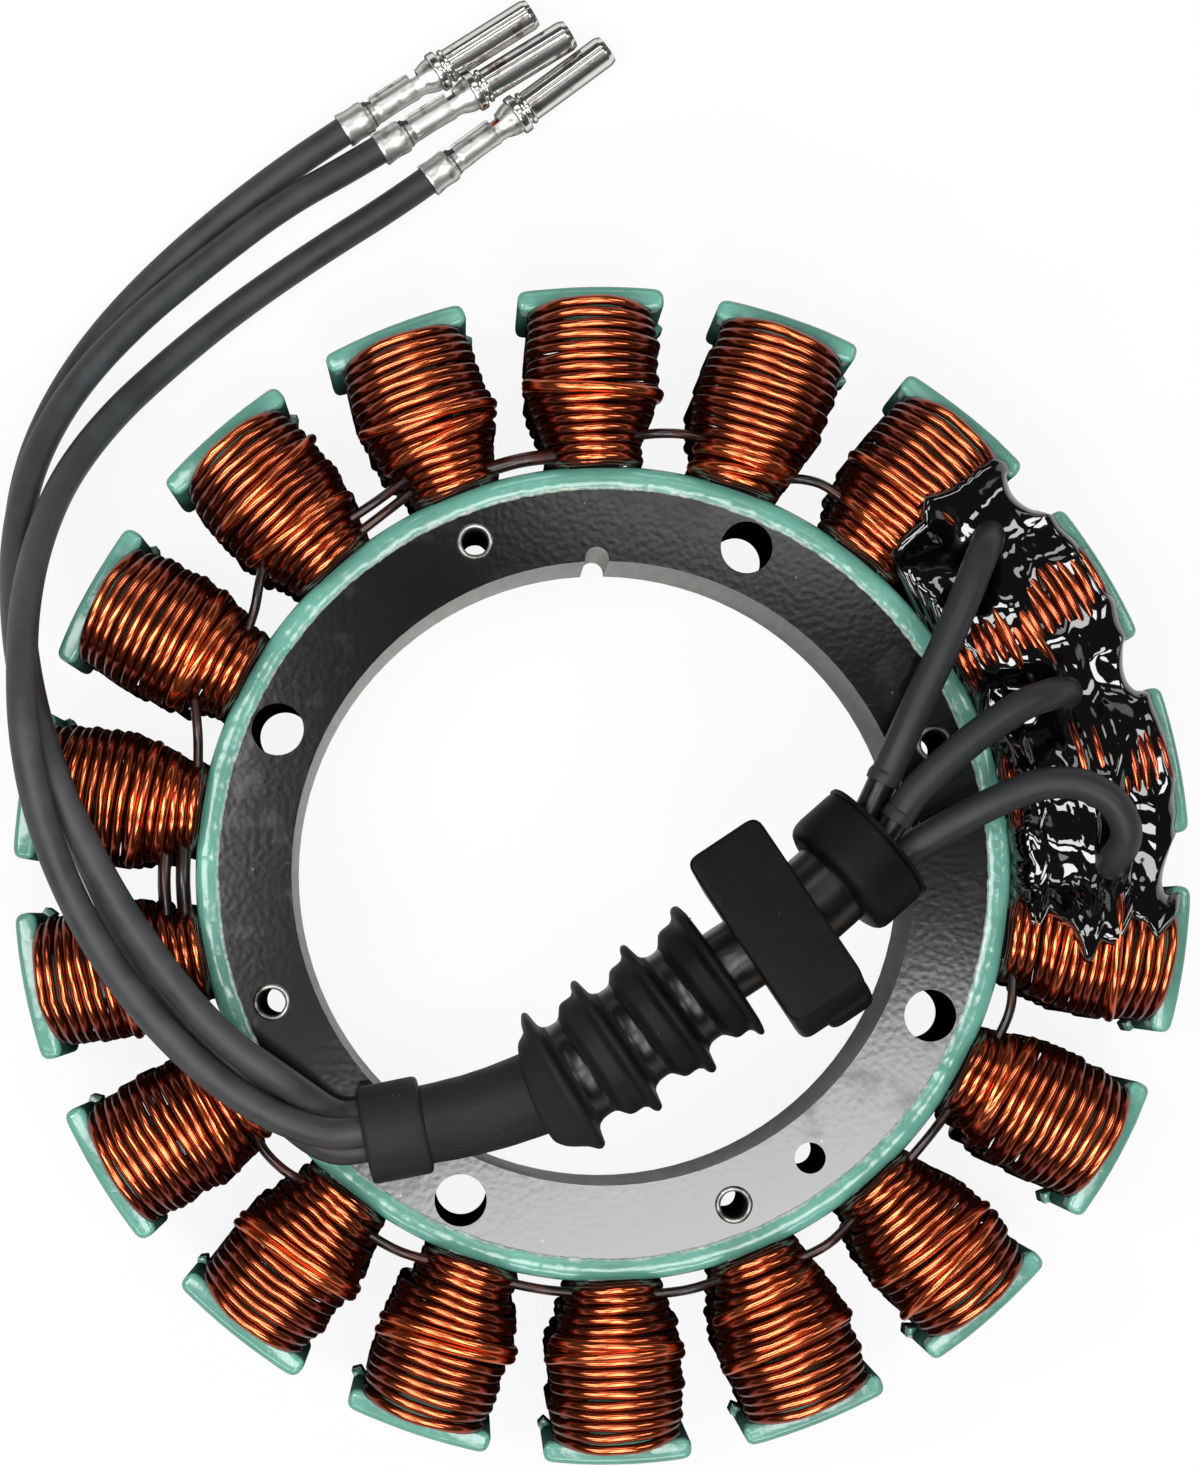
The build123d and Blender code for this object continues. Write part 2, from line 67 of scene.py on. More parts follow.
# Sizes that follow from the frame
coat_low, coat_high = box_mm("epoxy_coating")
coil_low, coil_high = box_mm("coil_01")
rivet_low, rivet_high = box_mm("rivet_1")
STACK_T = box_mm("stator_core")[1].z
MID_Z = STACK_T / 2
TIP_R = coat_high.y
TEETH = sum(name.startswith("coil_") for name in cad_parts)
PITCH = 360 / TEETH
FIRST_TOOTH = 90
BORE_R = 38.1
RING_IN_R = 46.9
RING_OUT_R = 49.8


# Meshes

def skin(rings, closed=False):
    """Vertices and faces over rings of equal count; closed joins the last ring to the first."""
    count = len(rings[0])
    verts = [point for ring in rings for point in ring]
    faces = []
    for i in range(len(rings) if closed else len(rings) - 1):
        a, b = i * count, (i + 1) % len(rings) * count
        faces += [(a + j, a + (j + 1) % count, b + (j + 1) % count, b + j) for j in range(count)]
    if not closed:
        faces.append(tuple(reversed(range(count))))
        faces.append(tuple(range((len(rings) - 1) * count, len(rings) * count)))
    return verts, faces


def through(points, steps):
    """Smooth curve through the points, with a number of steps in each span."""
    p = [Vector(q) for q in points]
    p = [2 * p[0] - p[1]] + p + [2 * p[-1] - p[-2]]
    path = []
    for a, b, c, d in zip(p, p[1:], p[2:], p[3:]):
        for step in range(steps):
            t = step / steps
            path.append(0.5 * (2 * b + (c - a) * t + (2 * a - 5 * b + 4 * c - d) * t**2
                               + (3 * b - a - 3 * c + d) * t**3))
    return path + [p[-2]]


def frames(path, up=(0, 0, 1)):
    """Side and up at each point of a path, turned as little as possible on the way."""
    up = Vector(up)
    result = []
    for i in range(len(path)):
        way = (path[min(i + 1, len(path) - 1)] - path[max(i - 1, 0)]).normalized()
        up = (up - way * up.dot(way)).normalized()
        result.append((up.cross(way), up))
    return result


def ring_of(centre, side, up, radius, sides):
    """Points round a centre, whose distance from it is a function of their angle."""
    ring = []
    for j in range(sides):
        a = TAU * j / sides
        r = radius(a)
        ring.append(centre + side * (r * math.cos(a)) + up * (r * math.sin(a)))
    return ring


def tube(path, radius, sides, up=(0, 0, 1)):
    """Round tube along a path; radius is a number or a function of the ring and the angle."""
    size = radius if callable(radius) else lambda i, a: radius
    return skin([ring_of(point, side, top, lambda a: size(i, a), sides)
                 for i, (point, (side, top)) in enumerate(zip(path, frames(path, up)))])


def lathe(origin, heading, profile, sides, hollow=False, wobble=None, up=(0, 0, 1)):
    """Turn (distance, radius) points about a heading; a hollow profile runs out and back."""
    origin, heading = Vector(origin), Vector(heading).normalized()
    up = Vector(up)
    up = (up - heading * up.dot(heading)).normalized()
    wobble = wobble or (lambda along, a: 0)
    return skin([ring_of(origin + heading * along, up.cross(heading), up,
                         lambda a: r + wobble(along, a), sides)
                 for along, r in profile], closed=hollow)


def rounded(points, radii, steps=4, closed=False):
    """Line of 2-D points with each corner turned into a short arc of about that radius."""
    p = [Vector(q) for q in points]
    count = len(p)
    line = []
    for i, r in enumerate(radii):
        if r == 0 or (not closed and i in (0, count - 1)):
            line.append(tuple(p[i]))
            continue
        before, after = p[i - 1] - p[i], p[(i + 1) % count] - p[i]
        half = before.angle(after) / 2
        cut = min(r / math.tan(half), 0.49 * before.length, 0.49 * after.length)
        a, b = p[i] + before.normalized() * cut, p[i] + after.normalized() * cut
        for step in range(steps + 1):
            t = step / steps
            line.append(tuple(a * (1 - t)**2 + p[i] * 2 * t * (1 - t) + b * t**2))
    return line


def inset(loop, distance):
    """Closed counter-clockwise 2-D loop moved inwards."""
    p = np.asarray(loop, float)
    edge = np.roll(p, -1, axis=0) - p
    edge /= np.maximum(np.linalg.norm(edge, axis=1, keepdims=True), 1e-9)
    normal = np.stack([-edge[:, 1], edge[:, 0]], axis=1)
    both = normal + np.roll(normal, 1, axis=0)
    both /= np.maximum((both * both).sum(axis=1, keepdims=True) / 2, 1e-9)
    return p + both * distance


def soft_prism(loop, low, high, edge_r, steps=4):
    """Prism over a counter-clockwise loop with rounded top and bottom edges."""
    rings = []
    for z, turn in ((low, -1), (high, 1)):
        angles = [math.pi / 2 * (1 - i / steps) for i in range(steps + 1)]
        for a in (angles if turn < 0 else reversed(angles)):
            drop = edge_r * (1 - math.sin(a))
            ring = inset(loop, edge_r * (1 - math.cos(a)))
            rings.append([(x, y, z - turn * drop) for x, y in ring])
    return skin(rings)


def radial(r, angle):
    """Point at that radius and angle."""
    return r * math.cos(math.radians(angle)), r * math.sin(math.radians(angle))


def turned(part, angle):
    """Vertices and faces turned about the bore's axis."""
    verts, faces = part
    c, s = radial(1, angle)
    return [(x * c - y * s, x * s + y * c, z) for x, y, z in verts], faces


def ripple(x, y, z, size, seed=0.0):
    """Smooth noise between about -1 and 1 whose bumps are about that size."""
    return noise.noise(Vector((x / size + seed, y / size - seed, z / size + 0.5 * seed)))


def round_ripple(reach, amount, size, seed):
    """Small unevenness of a turned form, by distance along it and angle."""
    return lambda along, a: amount * ripple(reach * math.cos(a), reach * math.sin(a), along, size,
                                            seed)


def link_piece(piece, stands_for):
    """Bring a piece into the scene, on the one body, for the CAD node that it stands for."""
    bpy.context.scene.collection.objects.link(piece)
    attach(piece, "root")
    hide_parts(stands_for)


class Shape:
    """Vertices and faces gathered for one piece."""

    def __init__(self):
        self.verts, self.faces, self.index = [], [], []

    def add(self, part, finish=0):
        """Add vertices and faces, in the finish of that number; returns the shape."""
        verts, faces = part
        start = len(self.verts)
        self.verts.extend(tuple(v) for v in verts)
        self.faces.extend(tuple(i + start for i in face) for face in faces)
        self.index.extend([finish] * len(faces))
        return self

    def link(self, name, finishes, slot, stands_for, crease=None):
        """Make the piece, with edges sharper than the crease's angle left sharp."""
        mesh = bpy.data.meshes.new(name)
        mesh.from_pydata((np.asarray(self.verts, float) * MM).tolist(), [], self.faces)
        for finish in finishes:
            mesh.materials.append(finish_of(finish))
        mesh.polygons.foreach_set("material_index", self.index)
        mesh.shade_smooth()
        if crease is not None:
            mesh.set_sharp_from_angle(angle=math.radians(crease))
        mesh.update()
        piece = bpy.data.objects.new(name, mesh)
        link_piece(piece, stands_for)
        return piece


# Shader nodes

class Nodes:
    """Short ways to add nodes to a shader tree."""

    def __init__(self, tree):
        self.tree = tree

    def feed(self, value, target):
        """Link a socket to an input, or give the input a plain value."""
        if isinstance(value, bpy.types.NodeSocket):
            self.tree.links.new(value, target)
        else:
            target.default_value = value

    def add(self, kind, inputs=None, **settings):
        """Outputs of a new node with its settings, and its inputs by name or number."""
        node = self.tree.nodes.new("ShaderNode" + kind)
        for name, value in settings.items():
            setattr(node, name, value)
        for label, value in (inputs or {}).items():
            self.feed(value, node.inputs[label])
        return node.outputs

    def maths(self, operation, a, b):
        return self.add("Math", {0: a, 1: b}, operation=operation)[0]

    def spread(self, value, low, high):
        """Number that goes from none at low to one at high."""
        return self.add("MapRange", {"Value": value, "From Min": low, "From Max": high})["Result"]

    def level(self, factor, low, high):
        """Number that goes from low to high with the factor."""
        return self.add("MapRange", {"Value": factor, "To Min": low, "To Max": high})["Result"]

    def mix(self, factor, first, second):
        return self.add("Mix", {"Factor": factor, "A": first, "B": second},
                        data_type="RGBA")["Result"]

    def blend(self, factor, first, second):
        """One shader going over into another."""
        return self.add("MixShader", {0: factor, 1: first, 2: second})[0]

    def split(self, vector):
        return self.add("SeparateXYZ", {"Vector": vector})

    def place(self):
        """Place on the object, in metres."""
        return self.add("TexCoord")["Object"]

    def seen(self):
        """One for rays from the camera, from gloss and through glass."""
        path = self.add("LightPath")
        glossy = self.maths("MAXIMUM", path["Is Glossy Ray"], path["Is Transmission Ray"])
        return self.maths("MAXIMUM", path["Is Camera Ray"], glossy)


SOCKET_KINDS = {1: "NodeSocketFloat", 3: "NodeSocketVector", 4: "NodeSocketColor"}


def new_group(name, inputs, outputs):
    """Shader group with inputs by default value and outputs by width, and its two end nodes."""
    tree = bpy.data.node_groups.new(name, "ShaderNodeTree")
    for label, value in inputs.items():
        kind = SOCKET_KINDS[1 if isinstance(value, float) else len(value)]
        made = tree.interface.new_socket(label, in_out="INPUT", socket_type=kind)
        made.default_value = value
    for label, width in outputs.items():
        tree.interface.new_socket(label, in_out="OUTPUT", socket_type=SOCKET_KINDS[width])
    given, result = tree.nodes.new("NodeGroupInput"), tree.nodes.new("NodeGroupOutput")
    return Nodes(tree), given.outputs, result.inputs


def two_tone_group(name):
    """Two colours that meet in cloudy patches."""
    group, given, result = new_group(
        name, {"First": (1, 1, 1, 1), "Second": (0, 0, 0, 1), "Scale": 300.0, "Balance": 0.5,
               "Softness": 0.1}, {"Color": 4, "Mask": 1})
    cloud = group.add("TexNoise", {"Vector": group.place(), "Scale": given["Scale"], "Detail": 5})
    low = group.maths("SUBTRACT", given["Balance"], given["Softness"])
    high = group.maths("ADD", given["Balance"], given["Softness"])
    mask = group.spread(cloud["Fac"], low, high)
    group.feed(group.mix(mask, given["First"], given["Second"]), result["Color"])
    group.feed(mask, result["Mask"])
    return group.tree


def speck_group(name):
    """Small round specks, such as dust."""
    group, given, result = new_group(name, {"Scale": 1000.0, "Share": 0.2, "Size": 0.15},
                                     {"Mask": 1})
    cells = group.add("TexVoronoi", {"Vector": group.place(), "Scale": given["Scale"]})
    pick = group.add("SeparateColor", {"Color": cells["Color"]})
    own_size = group.maths("MULTIPLY", pick["Green"], given["Size"])
    near = group.spread(cells["Distance"], own_size, 0.0)
    chosen = group.maths("LESS_THAN", pick["Red"], given["Share"])
    group.feed(group.maths("MULTIPLY", near, chosen), result["Mask"])
    return group.tree


def grain_group(name):
    """Height of a fine uneven surface."""
    group, given, result = new_group(
        name, {"Scale": 1000.0, "Detail": 2.0, "Stretch": (1.0, 1.0, 1.0)}, {"Height": 1})
    stretched = group.add("VectorMath", {0: group.place(), 1: given["Stretch"]},
                          operation="MULTIPLY")["Vector"]
    cloud = group.add("TexNoise", {"Vector": stretched, "Scale": given["Scale"],
                                   "Detail": given["Detail"]})
    group.feed(cloud["Fac"], result["Height"])
    return group.tree


GROUPS = {"Two Tones": two_tone_group, "Specks": speck_group, "Grain": grain_group}


class Paint(Nodes):
    """A material under construction."""

    def __init__(self, name):
        self.material = bpy.data.materials.new(name)
        self.material.use_nodes = True
        super().__init__(self.material.node_tree)
        self.shader = self.tree.nodes["Principled BSDF"]

    def set(self, **inputs):
        """Values or sockets for the shader's inputs, which are named with _ for a space."""
        for label, value in inputs.items():
            self.feed(value, self.shader.inputs[label.replace("_", " ")])

    def group(self, name, **inputs):
        tree = bpy.data.node_groups.get(name) or GROUPS[name](name)
        return self.add("Group", inputs, node_tree=tree)

    def tones(self, first, second, scale, balance=0.5, softness=0.1):
        """Colour and mask of two tones in cloudy patches."""
        tones = self.group("Two Tones", First=first, Second=second, Scale=scale, Balance=balance,
                           Softness=softness)
        return tones["Color"], tones["Mask"]

    def clouds(self, scale, balance, softness):
        """Mask of cloudy patches."""
        return self.group("Two Tones", Scale=scale, Balance=balance, Softness=softness)["Mask"]

    def grain(self, scale, detail=2.0, stretch=(1.0, 1.0, 1.0)):
        return self.group("Grain", Scale=scale, Detail=detail, Stretch=stretch)["Height"]

    def dusted(self, colour, scale, share, size, dust):
        """Colour under small specks of dust."""
        specks = self.group("Specks", Scale=scale, Share=share, Size=size)["Mask"]
        return self.mix(specks, colour, rgba(dust))

    def bump(self, height, distance_mm, strength, below=None):
        inputs = {"Strength": strength, "Distance": distance_mm * MM, "Height": height}
        if below is not None:
            inputs["Normal"] = below
        return self.add("Bump", inputs)["Normal"]

    def flatness(self, low, high):
        """One on faces that look up or down, none on upright walls."""
        upright = self.split(self.add("NewGeometry")["Normal"])["Z"]
        return self.spread(self.maths("ABSOLUTE", upright, 0), low, high)

    def glance(self, blend):
        """None where the surface faces the viewer, one where it is seen at a glancing angle."""
        return self.add("LayerWeight", {"Blend": blend})["Facing"]

    def facing(self, low, high):
        """One where the surface faces the viewer, none at a glancing angle."""
        return self.spread(self.glance(0.5), high, low)

    def towards_left(self, start, end):
        """None at one place across the object and one at a place further left, in metres."""
        return self.spread(self.split(self.place())["X"], start, end)

    def radius_mm(self):
        """Distance from the bore's axis, in millimetres."""
        at = self.split(self.place())
        squares = [self.maths("MULTIPLY", at[axis], at[axis]) for axis in ("X", "Y")]
        return self.maths("MULTIPLY", self.maths("POWER", self.maths("ADD", *squares), 0.5), 1 / MM)


def colours():
    return bpy.context.scene.stator_colours


def sizes():
    return bpy.context.scene.stator_sizes


def rgba(colour, share=1.0):
    """Colour times a share, as four numbers."""
    return (colour[0] * share, colour[1] * share, colour[2] * share, 1.0)


# Materials

def plate_paint(paint):
    """Black paint with an orange-peel skin on the plate, and machined steel in the bore."""
    black, steel = colours().plate, colours().steel
    tones, _ = paint.tones(rgba(black, 0.7), rgba(black, 1.5), 60.0, softness=0.2)
    dusty = paint.dusted(tones, 700.0, 0.06, 0.2, (0.3, 0.3, 0.3))
    scratched = paint.spread(paint.grain(330.0, 1.0, (0.12, 3.2, 1.0)), 0.745, 0.76)
    marked = paint.mix(paint.maths("MULTIPLY", scratched, 0.3), dusty, rgba((0.12, 0.12, 0.12)))
    wall = paint.maths("SUBTRACT", 1.0, paint.flatness(0.45, 0.55))
    inner = paint.maths("LESS_THAN", paint.radius_mm(), BORE_R + 2.0)
    streaks = paint.grain(900.0, 3.0, (1.0, 1.0, 0.08))
    # Painted light: the bore's steel wall is painted paler towards the left, where the light falls
    # on it.
    grey = paint.mix(streaks, rgba(steel, 0.8), rgba(steel, 1.3))
    pale = paint.mix(streaks, rgba(steel, 2.0), rgba(steel, 2.7))
    bright = paint.mix(paint.towards_left(0.024, -0.03), grey, pale)
    shine = paint.level(paint.clouds(95.0, 0.66, 0.05), 0.125, 0.2)
    wide = paint.bump(paint.grain(170.0, 1.0), 0.12, 0.04)
    paint.set(Base_Color=paint.mix(paint.maths("MULTIPLY", wall, inner), marked, bright),
              Roughness=paint.maths("MAXIMUM", shine, paint.maths("MULTIPLY", wall, 0.6)),
              Specular_IOR_Level=paint.level(wall, 0.72, 0.0),
              Normal=paint.bump(paint.grain(1350.0, 0.5), 0.03, 0.26, wide))


def sea_green_coat(paint):
    """Glossy sea-green coating, paler where it ends raggedly round the plate."""
    green, pale = colours().epoxy, colours().epoxy_worn
    tones, _ = paint.tones(rgba(green, 0.86), rgba(green, 1.12), 110.0, softness=0.16)
    wear, _ = paint.tones(rgba(pale), rgba(pale, 0.6), 1600.0)
    drift = paint.maths("MULTIPLY", paint.grain(900.0, 4.0), 1.1)
    ragged = paint.spread(paint.maths("ADD", paint.radius_mm(), drift), RING_IN_R + 1.0,
                          RING_IN_R + 0.7)
    scuffs = paint.maths("MULTIPLY", paint.clouds(420.0, 0.7, 0.02), 0.25)
    coloured = paint.mix(paint.maths("MAXIMUM", ragged, scuffs), tones, wear)
    wide = paint.bump(paint.grain(420.0), 0.25, 0.6)
    facing = paint.facing(0.5, 0.8)
    # Painted shade: the coating's upright walls are painted at half the green of its faces.
    paint.set(Base_Color=paint.mix(paint.flatness(0.1, 0.6), rgba(green, 0.5), coloured),
              Roughness=0.2, Specular_IOR_Level=paint.level(facing, 0.0, 0.5),
              Coat_Weight=paint.level(facing, 0.0, 0.4), Coat_Roughness=0.08,
              Normal=paint.bump(paint.grain(2600.0), 0.03, 0.4, wide))


def enamelled_copper(paint):
    """Copper under clear varnish, darker down a winding's sides from gathered varnish and painted
    shade.
    """
    bright, deep, dark = colours().copper, colours().copper_deep, colours().varnish_and_shade
    crown = paint.add("Attribute", attribute_name="crown")["Fac"]
    patches = paint.maths("SUBTRACT", paint.grain(200.0), 0.5)
    lit = paint.maths("ADD", crown, paint.maths("MULTIPLY", patches, 0.4))
    # Painted light from the crown values: bright copper on the lit crown is a painted highlight.
    # Deep copper and then the varnish colour, down the sides and into the grooves between wires,
    # are painted shade, partly real varnish. Unlit and glancing places also lose their metal and
    # coat.
    lower = paint.mix(paint.spread(lit, 0.25, 0.85), rgba(dark), rgba(deep))
    top = paint.maths("MULTIPLY", paint.spread(lit, 0.0, 0.5), paint.facing(0.6, 0.9))
    paint.set(Base_Color=paint.mix(paint.spread(lit, 0.72, 1.08), lower, rgba(bright)),
              Metallic=paint.level(top, 0.0, 0.97), Roughness=paint.level(top, 0.45, 0.2),
              Specular_IOR_Level=paint.level(top, 0.0, 0.5),
              Coat_Weight=paint.level(top, 0.0, 0.6), Coat_Roughness=0.14, Coat_IOR=1.5)


def varnished_wire(paint):
    """Wire ends in the gaps, dark with varnish."""
    tones, _ = paint.tones(rgba(colours().varnish_and_shade, 0.3), rgba(colours().copper_deep, 0.2), 380.0,
                           0.6, 0.12)
    paint.set(Base_Color=tones, Metallic=0.2, Coat_Weight=0.25, Coat_Roughness=0.15,
              Roughness=paint.level(paint.grain(1800.0), 0.2, 0.45))


def potting_resin(paint):
    """Glossy black resin with a few trapped specks."""
    paint.set(Base_Color=paint.dusted(rgba(colours().resin), 900.0, 0.1, 0.14, (0.25, 0.25, 0.24)),
              Specular_IOR_Level=paint.level(paint.facing(0.5, 0.8), 0.0, 0.7), Roughness=0.05,
              Coat_Weight=0.8, Coat_Roughness=0.03)


def matt_rubber(paint):
    """Dull moulded rubber with rubbed patches and pale dust."""
    black = colours().rubber
    tones, patches = paint.tones(rgba(black, 0.3), rgba(black, 0.9), 180.0, 0.56, 0.14)
    # Painted light: the rubber is painted paler towards the left, where more light falls on it.
    tone = paint.mix(paint.towards_left(0.012, -0.014), tones, rgba(black, 3.2))
    wide = paint.bump(paint.grain(260.0), 0.2, 0.3)
    paint.set(Base_Color=paint.dusted(tone, 1300.0, 0.16, 0.13, (0.20, 0.19, 0.17)),
              Roughness=paint.level(patches, 0.5, 0.66), Specular_IOR_Level=0.14,
              Normal=paint.bump(paint.grain(3200.0, 3.0), 0.03, 0.5, wide))


def glossy_rubber(paint):
    """Rubber skin as it left the mould, and the insulation of the inner wires."""
    black = rgba(colours().rubber, 0.35)
    cloud = paint.grain(500.0, 3.0)
    paint.set(Base_Color=paint.dusted(black, 1500.0, 0.08, 0.12, (0.22, 0.21, 0.19)),
              Roughness=paint.level(cloud, 0.2, 0.42), Specular_IOR_Level=0.45,
              Normal=paint.bump(cloud, 0.08, 0.3))


def satin_sleeving(paint):
    """Satin black sleeving with light dust."""
    black = colours().jacket
    tones, patches = paint.tones(rgba(black, 0.8), rgba(black, 1.4), 240.0, softness=0.2)
    # Painted shade: the sleeving is painted darker towards the right, where less light falls on it.
    tone = paint.mix(paint.towards_left(0.03, -0.05), rgba(black, 0.5), tones)
    paint.set(Base_Color=paint.dusted(tone, 1700.0, 0.12, 0.12, (0.16, 0.16, 0.15)),
              Roughness=paint.level(patches, 0.42, 0.56), Specular_IOR_Level=0.38,
              Normal=paint.bump(paint.grain(4200.0), 0.02, 0.4))


def bright_tin(paint):
    """Drawn tinned brass of the hoods, darker at its edges, with brown stains."""
    stain, _ = paint.tones(rgba(colours().tin), rgba((0.26, 0.15, 0.09)), 330.0, 0.66, 0.06)
    # Painted shade: the hoods are painted darker, also in their specular tint, where they are seen
    # at a glancing angle near their edges.
    edge = paint.spread(paint.glance(0.42), 0.35, 0.85)
    paint.set(Base_Color=paint.mix(edge, stain, rgba((0.10, 0.085, 0.075))), Metallic=1.0,
              Roughness=0.19, Specular_Tint=(0.15, 0.14, 0.13, 1))


def dull_tin(paint):
    """Pressed tinned brass of the crimps, dented and spotted."""
    tin = colours().tin
    marks, _ = paint.tones(rgba(tin, 0.85), rgba(tin, 0.3), 620.0, 0.62, 0.07)
    # Painted shade: the crimps are painted darker, also in their specular tint, where they are seen
    # at a glancing angle near their edges.
    edge = paint.spread(paint.glance(0.42), 0.4, 0.9)
    grain = paint.grain(520.0)
    paint.set(Base_Color=paint.mix(edge, marks, rgba((0.13, 0.12, 0.11))), Metallic=0.9,
              Roughness=paint.level(grain, 0.3, 0.46), Specular_IOR_Level=0.1,
              Specular_Tint=(0.2, 0.19, 0.18, 1), Normal=paint.bump(grain, 0.12, 0.5))


def bare_strand(paint):
    """Bare copper strands of a lead's core."""
    tones, patches = paint.tones(rgba(colours().copper), rgba(colours().copper_deep), 900.0)
    paint.set(Base_Color=tones, Metallic=1.0, Roughness=paint.level(patches, 0.25, 0.4))


def stained_steel(paint):
    """Dull steel of the tubular rivets, stained dark, with painted shade down their hollows."""
    tones, _ = paint.tones(rgba(colours().steel, 1.3), rgba((0.07, 0.06, 0.05)), 420.0, 0.52, 0.12)
    # Painted shade: the rivets' upright walls, down their hollows, are painted near black and
    # without metal sheen.
    face = paint.flatness(0.15, 0.45)
    paint.set(Base_Color=paint.mix(face, rgba((0.03, 0.028, 0.026)), tones),
              Metallic=paint.level(face, 0.0, 0.9), Specular_IOR_Level=paint.level(face, 0.0, 0.5),
              Roughness=paint.level(paint.grain(1500.0), 0.28, 0.5))


FINISHES = {make.__name__: make for make in (
    plate_paint, sea_green_coat, enamelled_copper, varnished_wire, potting_resin, matt_rubber,
    glossy_rubber, satin_sleeving, bright_tin, dull_tin, bare_strand, stained_steel)}


def finish_of(name):
    """The material of that name, made by its own function the first time it is asked for."""
    material = bpy.data.materials.get(name)
    if material is None:
        paint = Paint(name)
        FINISHES[name](paint)
        material = paint.material
    return material


def dress(node, finish):
    """A CAD node keeps its shape and gets a finish."""
    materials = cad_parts[node].data.materials
    materials.clear()
    materials.append(finish_of(finish))


# Epoxy coating: half width of a shoe, radii of its lip and its root, half width of the stem
SHOE_HALF_W = 9.0
SHOE_LIP_R = 69.5
SHOE_ROOT_R = 68.65
STEM_HALF_W = 3.5


def shoe_outline():
    """Outline of a coated tooth from its shoe to inside the ring, for the tooth along +Y."""
    end_y = math.sqrt(TIP_R**2 - SHOE_HALF_W**2)
    lip_y = math.sqrt(SHOE_LIP_R**2 - SHOE_HALF_W**2)
    start_y = (RING_IN_R + RING_OUT_R) / 2
    across = [SHOE_HALF_W * (1 - step / 4) for step in range(1, 8)]
    arc = [(x, math.sqrt(TIP_R**2 - x * x)) for x in across]
    points = [(SHOE_HALF_W, lip_y), (SHOE_HALF_W, end_y)] + arc + [
        (-SHOE_HALF_W, end_y), (-SHOE_HALF_W, lip_y), (-STEM_HALF_W, SHOE_ROOT_R),
        (-STEM_HALF_W, start_y), (STEM_HALF_W, start_y), (STEM_HALF_W, SHOE_ROOT_R)]
    radii = [1.0, 1.3] + [0] * len(arc) + [1.3, 1.0, 0.8, 0, 0, 0.8]
    return rounded(points, radii, closed=True)


def coat_tooth(shape, tooth):
    """One coated tooth with a wavy surface, and the flash on its shoe's clockwise side."""
    verts, faces = soft_prism(shoe_outline(), coat_low.z + 0.1, coat_high.z - 0.1, 0.65)
    wavy = []
    for x, y, z in verts:
        push = 0.16 * ripple(x, y, z, 3.0, 3.7 * tooth)
        aside = 0.5 * push if abs(x) > STEM_HALF_W + 1 else 0.0
        if y < SHOE_ROOT_R - 1:
            z = MID_Z + 0.93 * (z - MID_Z)
        wavy.append((x + math.copysign(1, x) * aside, y + aside, z + 0.6 * push))
    shape.add(turned((wavy, faces), tooth * PITCH))
    rng = random.Random(tooth)
    side, low = SHOE_HALF_W, coat_low.z
    end_y = math.sqrt(SHOE_LIP_R**2 - side**2)
    fin = [(side - 1.6, end_y + 0.2), (side - 0.4, end_y - 0.7 - 0.5 * rng.random()),
           (side + 0.3 + 0.4 * rng.random(), end_y - 0.1), (side - 0.2, end_y + 0.7)]
    flash = soft_prism(rounded(fin, [0.2] * 4, closed=True), low + 1.2,
                       low + 6.5 + 3 * rng.random(), 0.15, steps=2)
    shape.add(turned(flash, tooth * PITCH))


def coat_ring(shape):
    """The band of coating on the yoke's rim, with its ragged inner edge."""
    steps, outer, top = 720, RING_OUT_R, coat_high.z
    rings = []
    for i in range(steps):
        c, s = math.cos(TAU * i / steps), math.sin(TAU * i / steps)

        def uneven(layer, size):
            return ripple(60 * c, 60 * s, layer, size)

        edge = 0.10 * uneven(0, 2.1) + 0.12 * uneven(5, 0.8)
        edge += 0.3 * max(uneven(9, 5.0) - 0.3, 0)
        swell = 0.10 * uneven(3, 4.0) + 0.05 * uneven(7, 1.2)
        inner = RING_IN_R - edge
        half = [(inner, STACK_T - 0.05), (inner + 0.05, top - 0.28),
                (inner + 0.3, top - 0.16 + 0.5 * swell), (inner + 0.9, top - 0.07 + 0.7 * swell),
                (outer - 1.5, top - 0.02 + swell), (outer - 0.9, top - 0.08 + 0.6 * swell),
                (outer - 0.45, top - 0.24), (outer - 0.12, top - 0.55), (outer, top - 1.0)]
        section = half + [(r, STACK_T - z) for r, z in reversed(half)]
        rings.append([(r * c, r * s, z) for r, z in section])
    shape.add(skin(rings, closed=True))


def build_coating():
    """The coated rim and teeth as one piece."""
    shape = Shape()
    coat_ring(shape)
    for tooth in range(TEETH):
        coat_tooth(shape, tooth)
    shape.link("epoxy_coat", ["sea_green_coat"], "green_epoxy", "epoxy_coating", crease=60)


# Windings: radii of the stations, half widths there, and half heights from the middle plane
WINDING_R = (coil_low.y, 52.5, 58.5, 65.0, coil_high.y)
WINDING_HALF_W = (5.9, 5.9, coil_high.x, coil_high.x, 7.5)
WINDING_HALF_H = (17.4, 17.4, 18.0, 18.0, 17.6)
# Height and power of the crown over the teeth's faces, and radius of the last turn at its sides
CROWN_H = 6.3
CROWN_POWER = 2.3
LAST_SIDE_R = 68.4
WIRE_SIDES = 14
STRAND_SIDES = 10
# Turn at which the wires near the root spill out most, and the number of turns that share in it
SPILL_TURN = 3.5
SPILL_WIDTH = 2.2
# How much of their brightness the windings under the resin keep
POTTED = {15: 0.84, 16: 0.86}


def half_sizes(r):
    """Half width and half height of a winding at a radius."""
    return np.interp(r, WINDING_R, WINDING_HALF_W), np.interp(r, WINDING_R, WINDING_HALF_H)


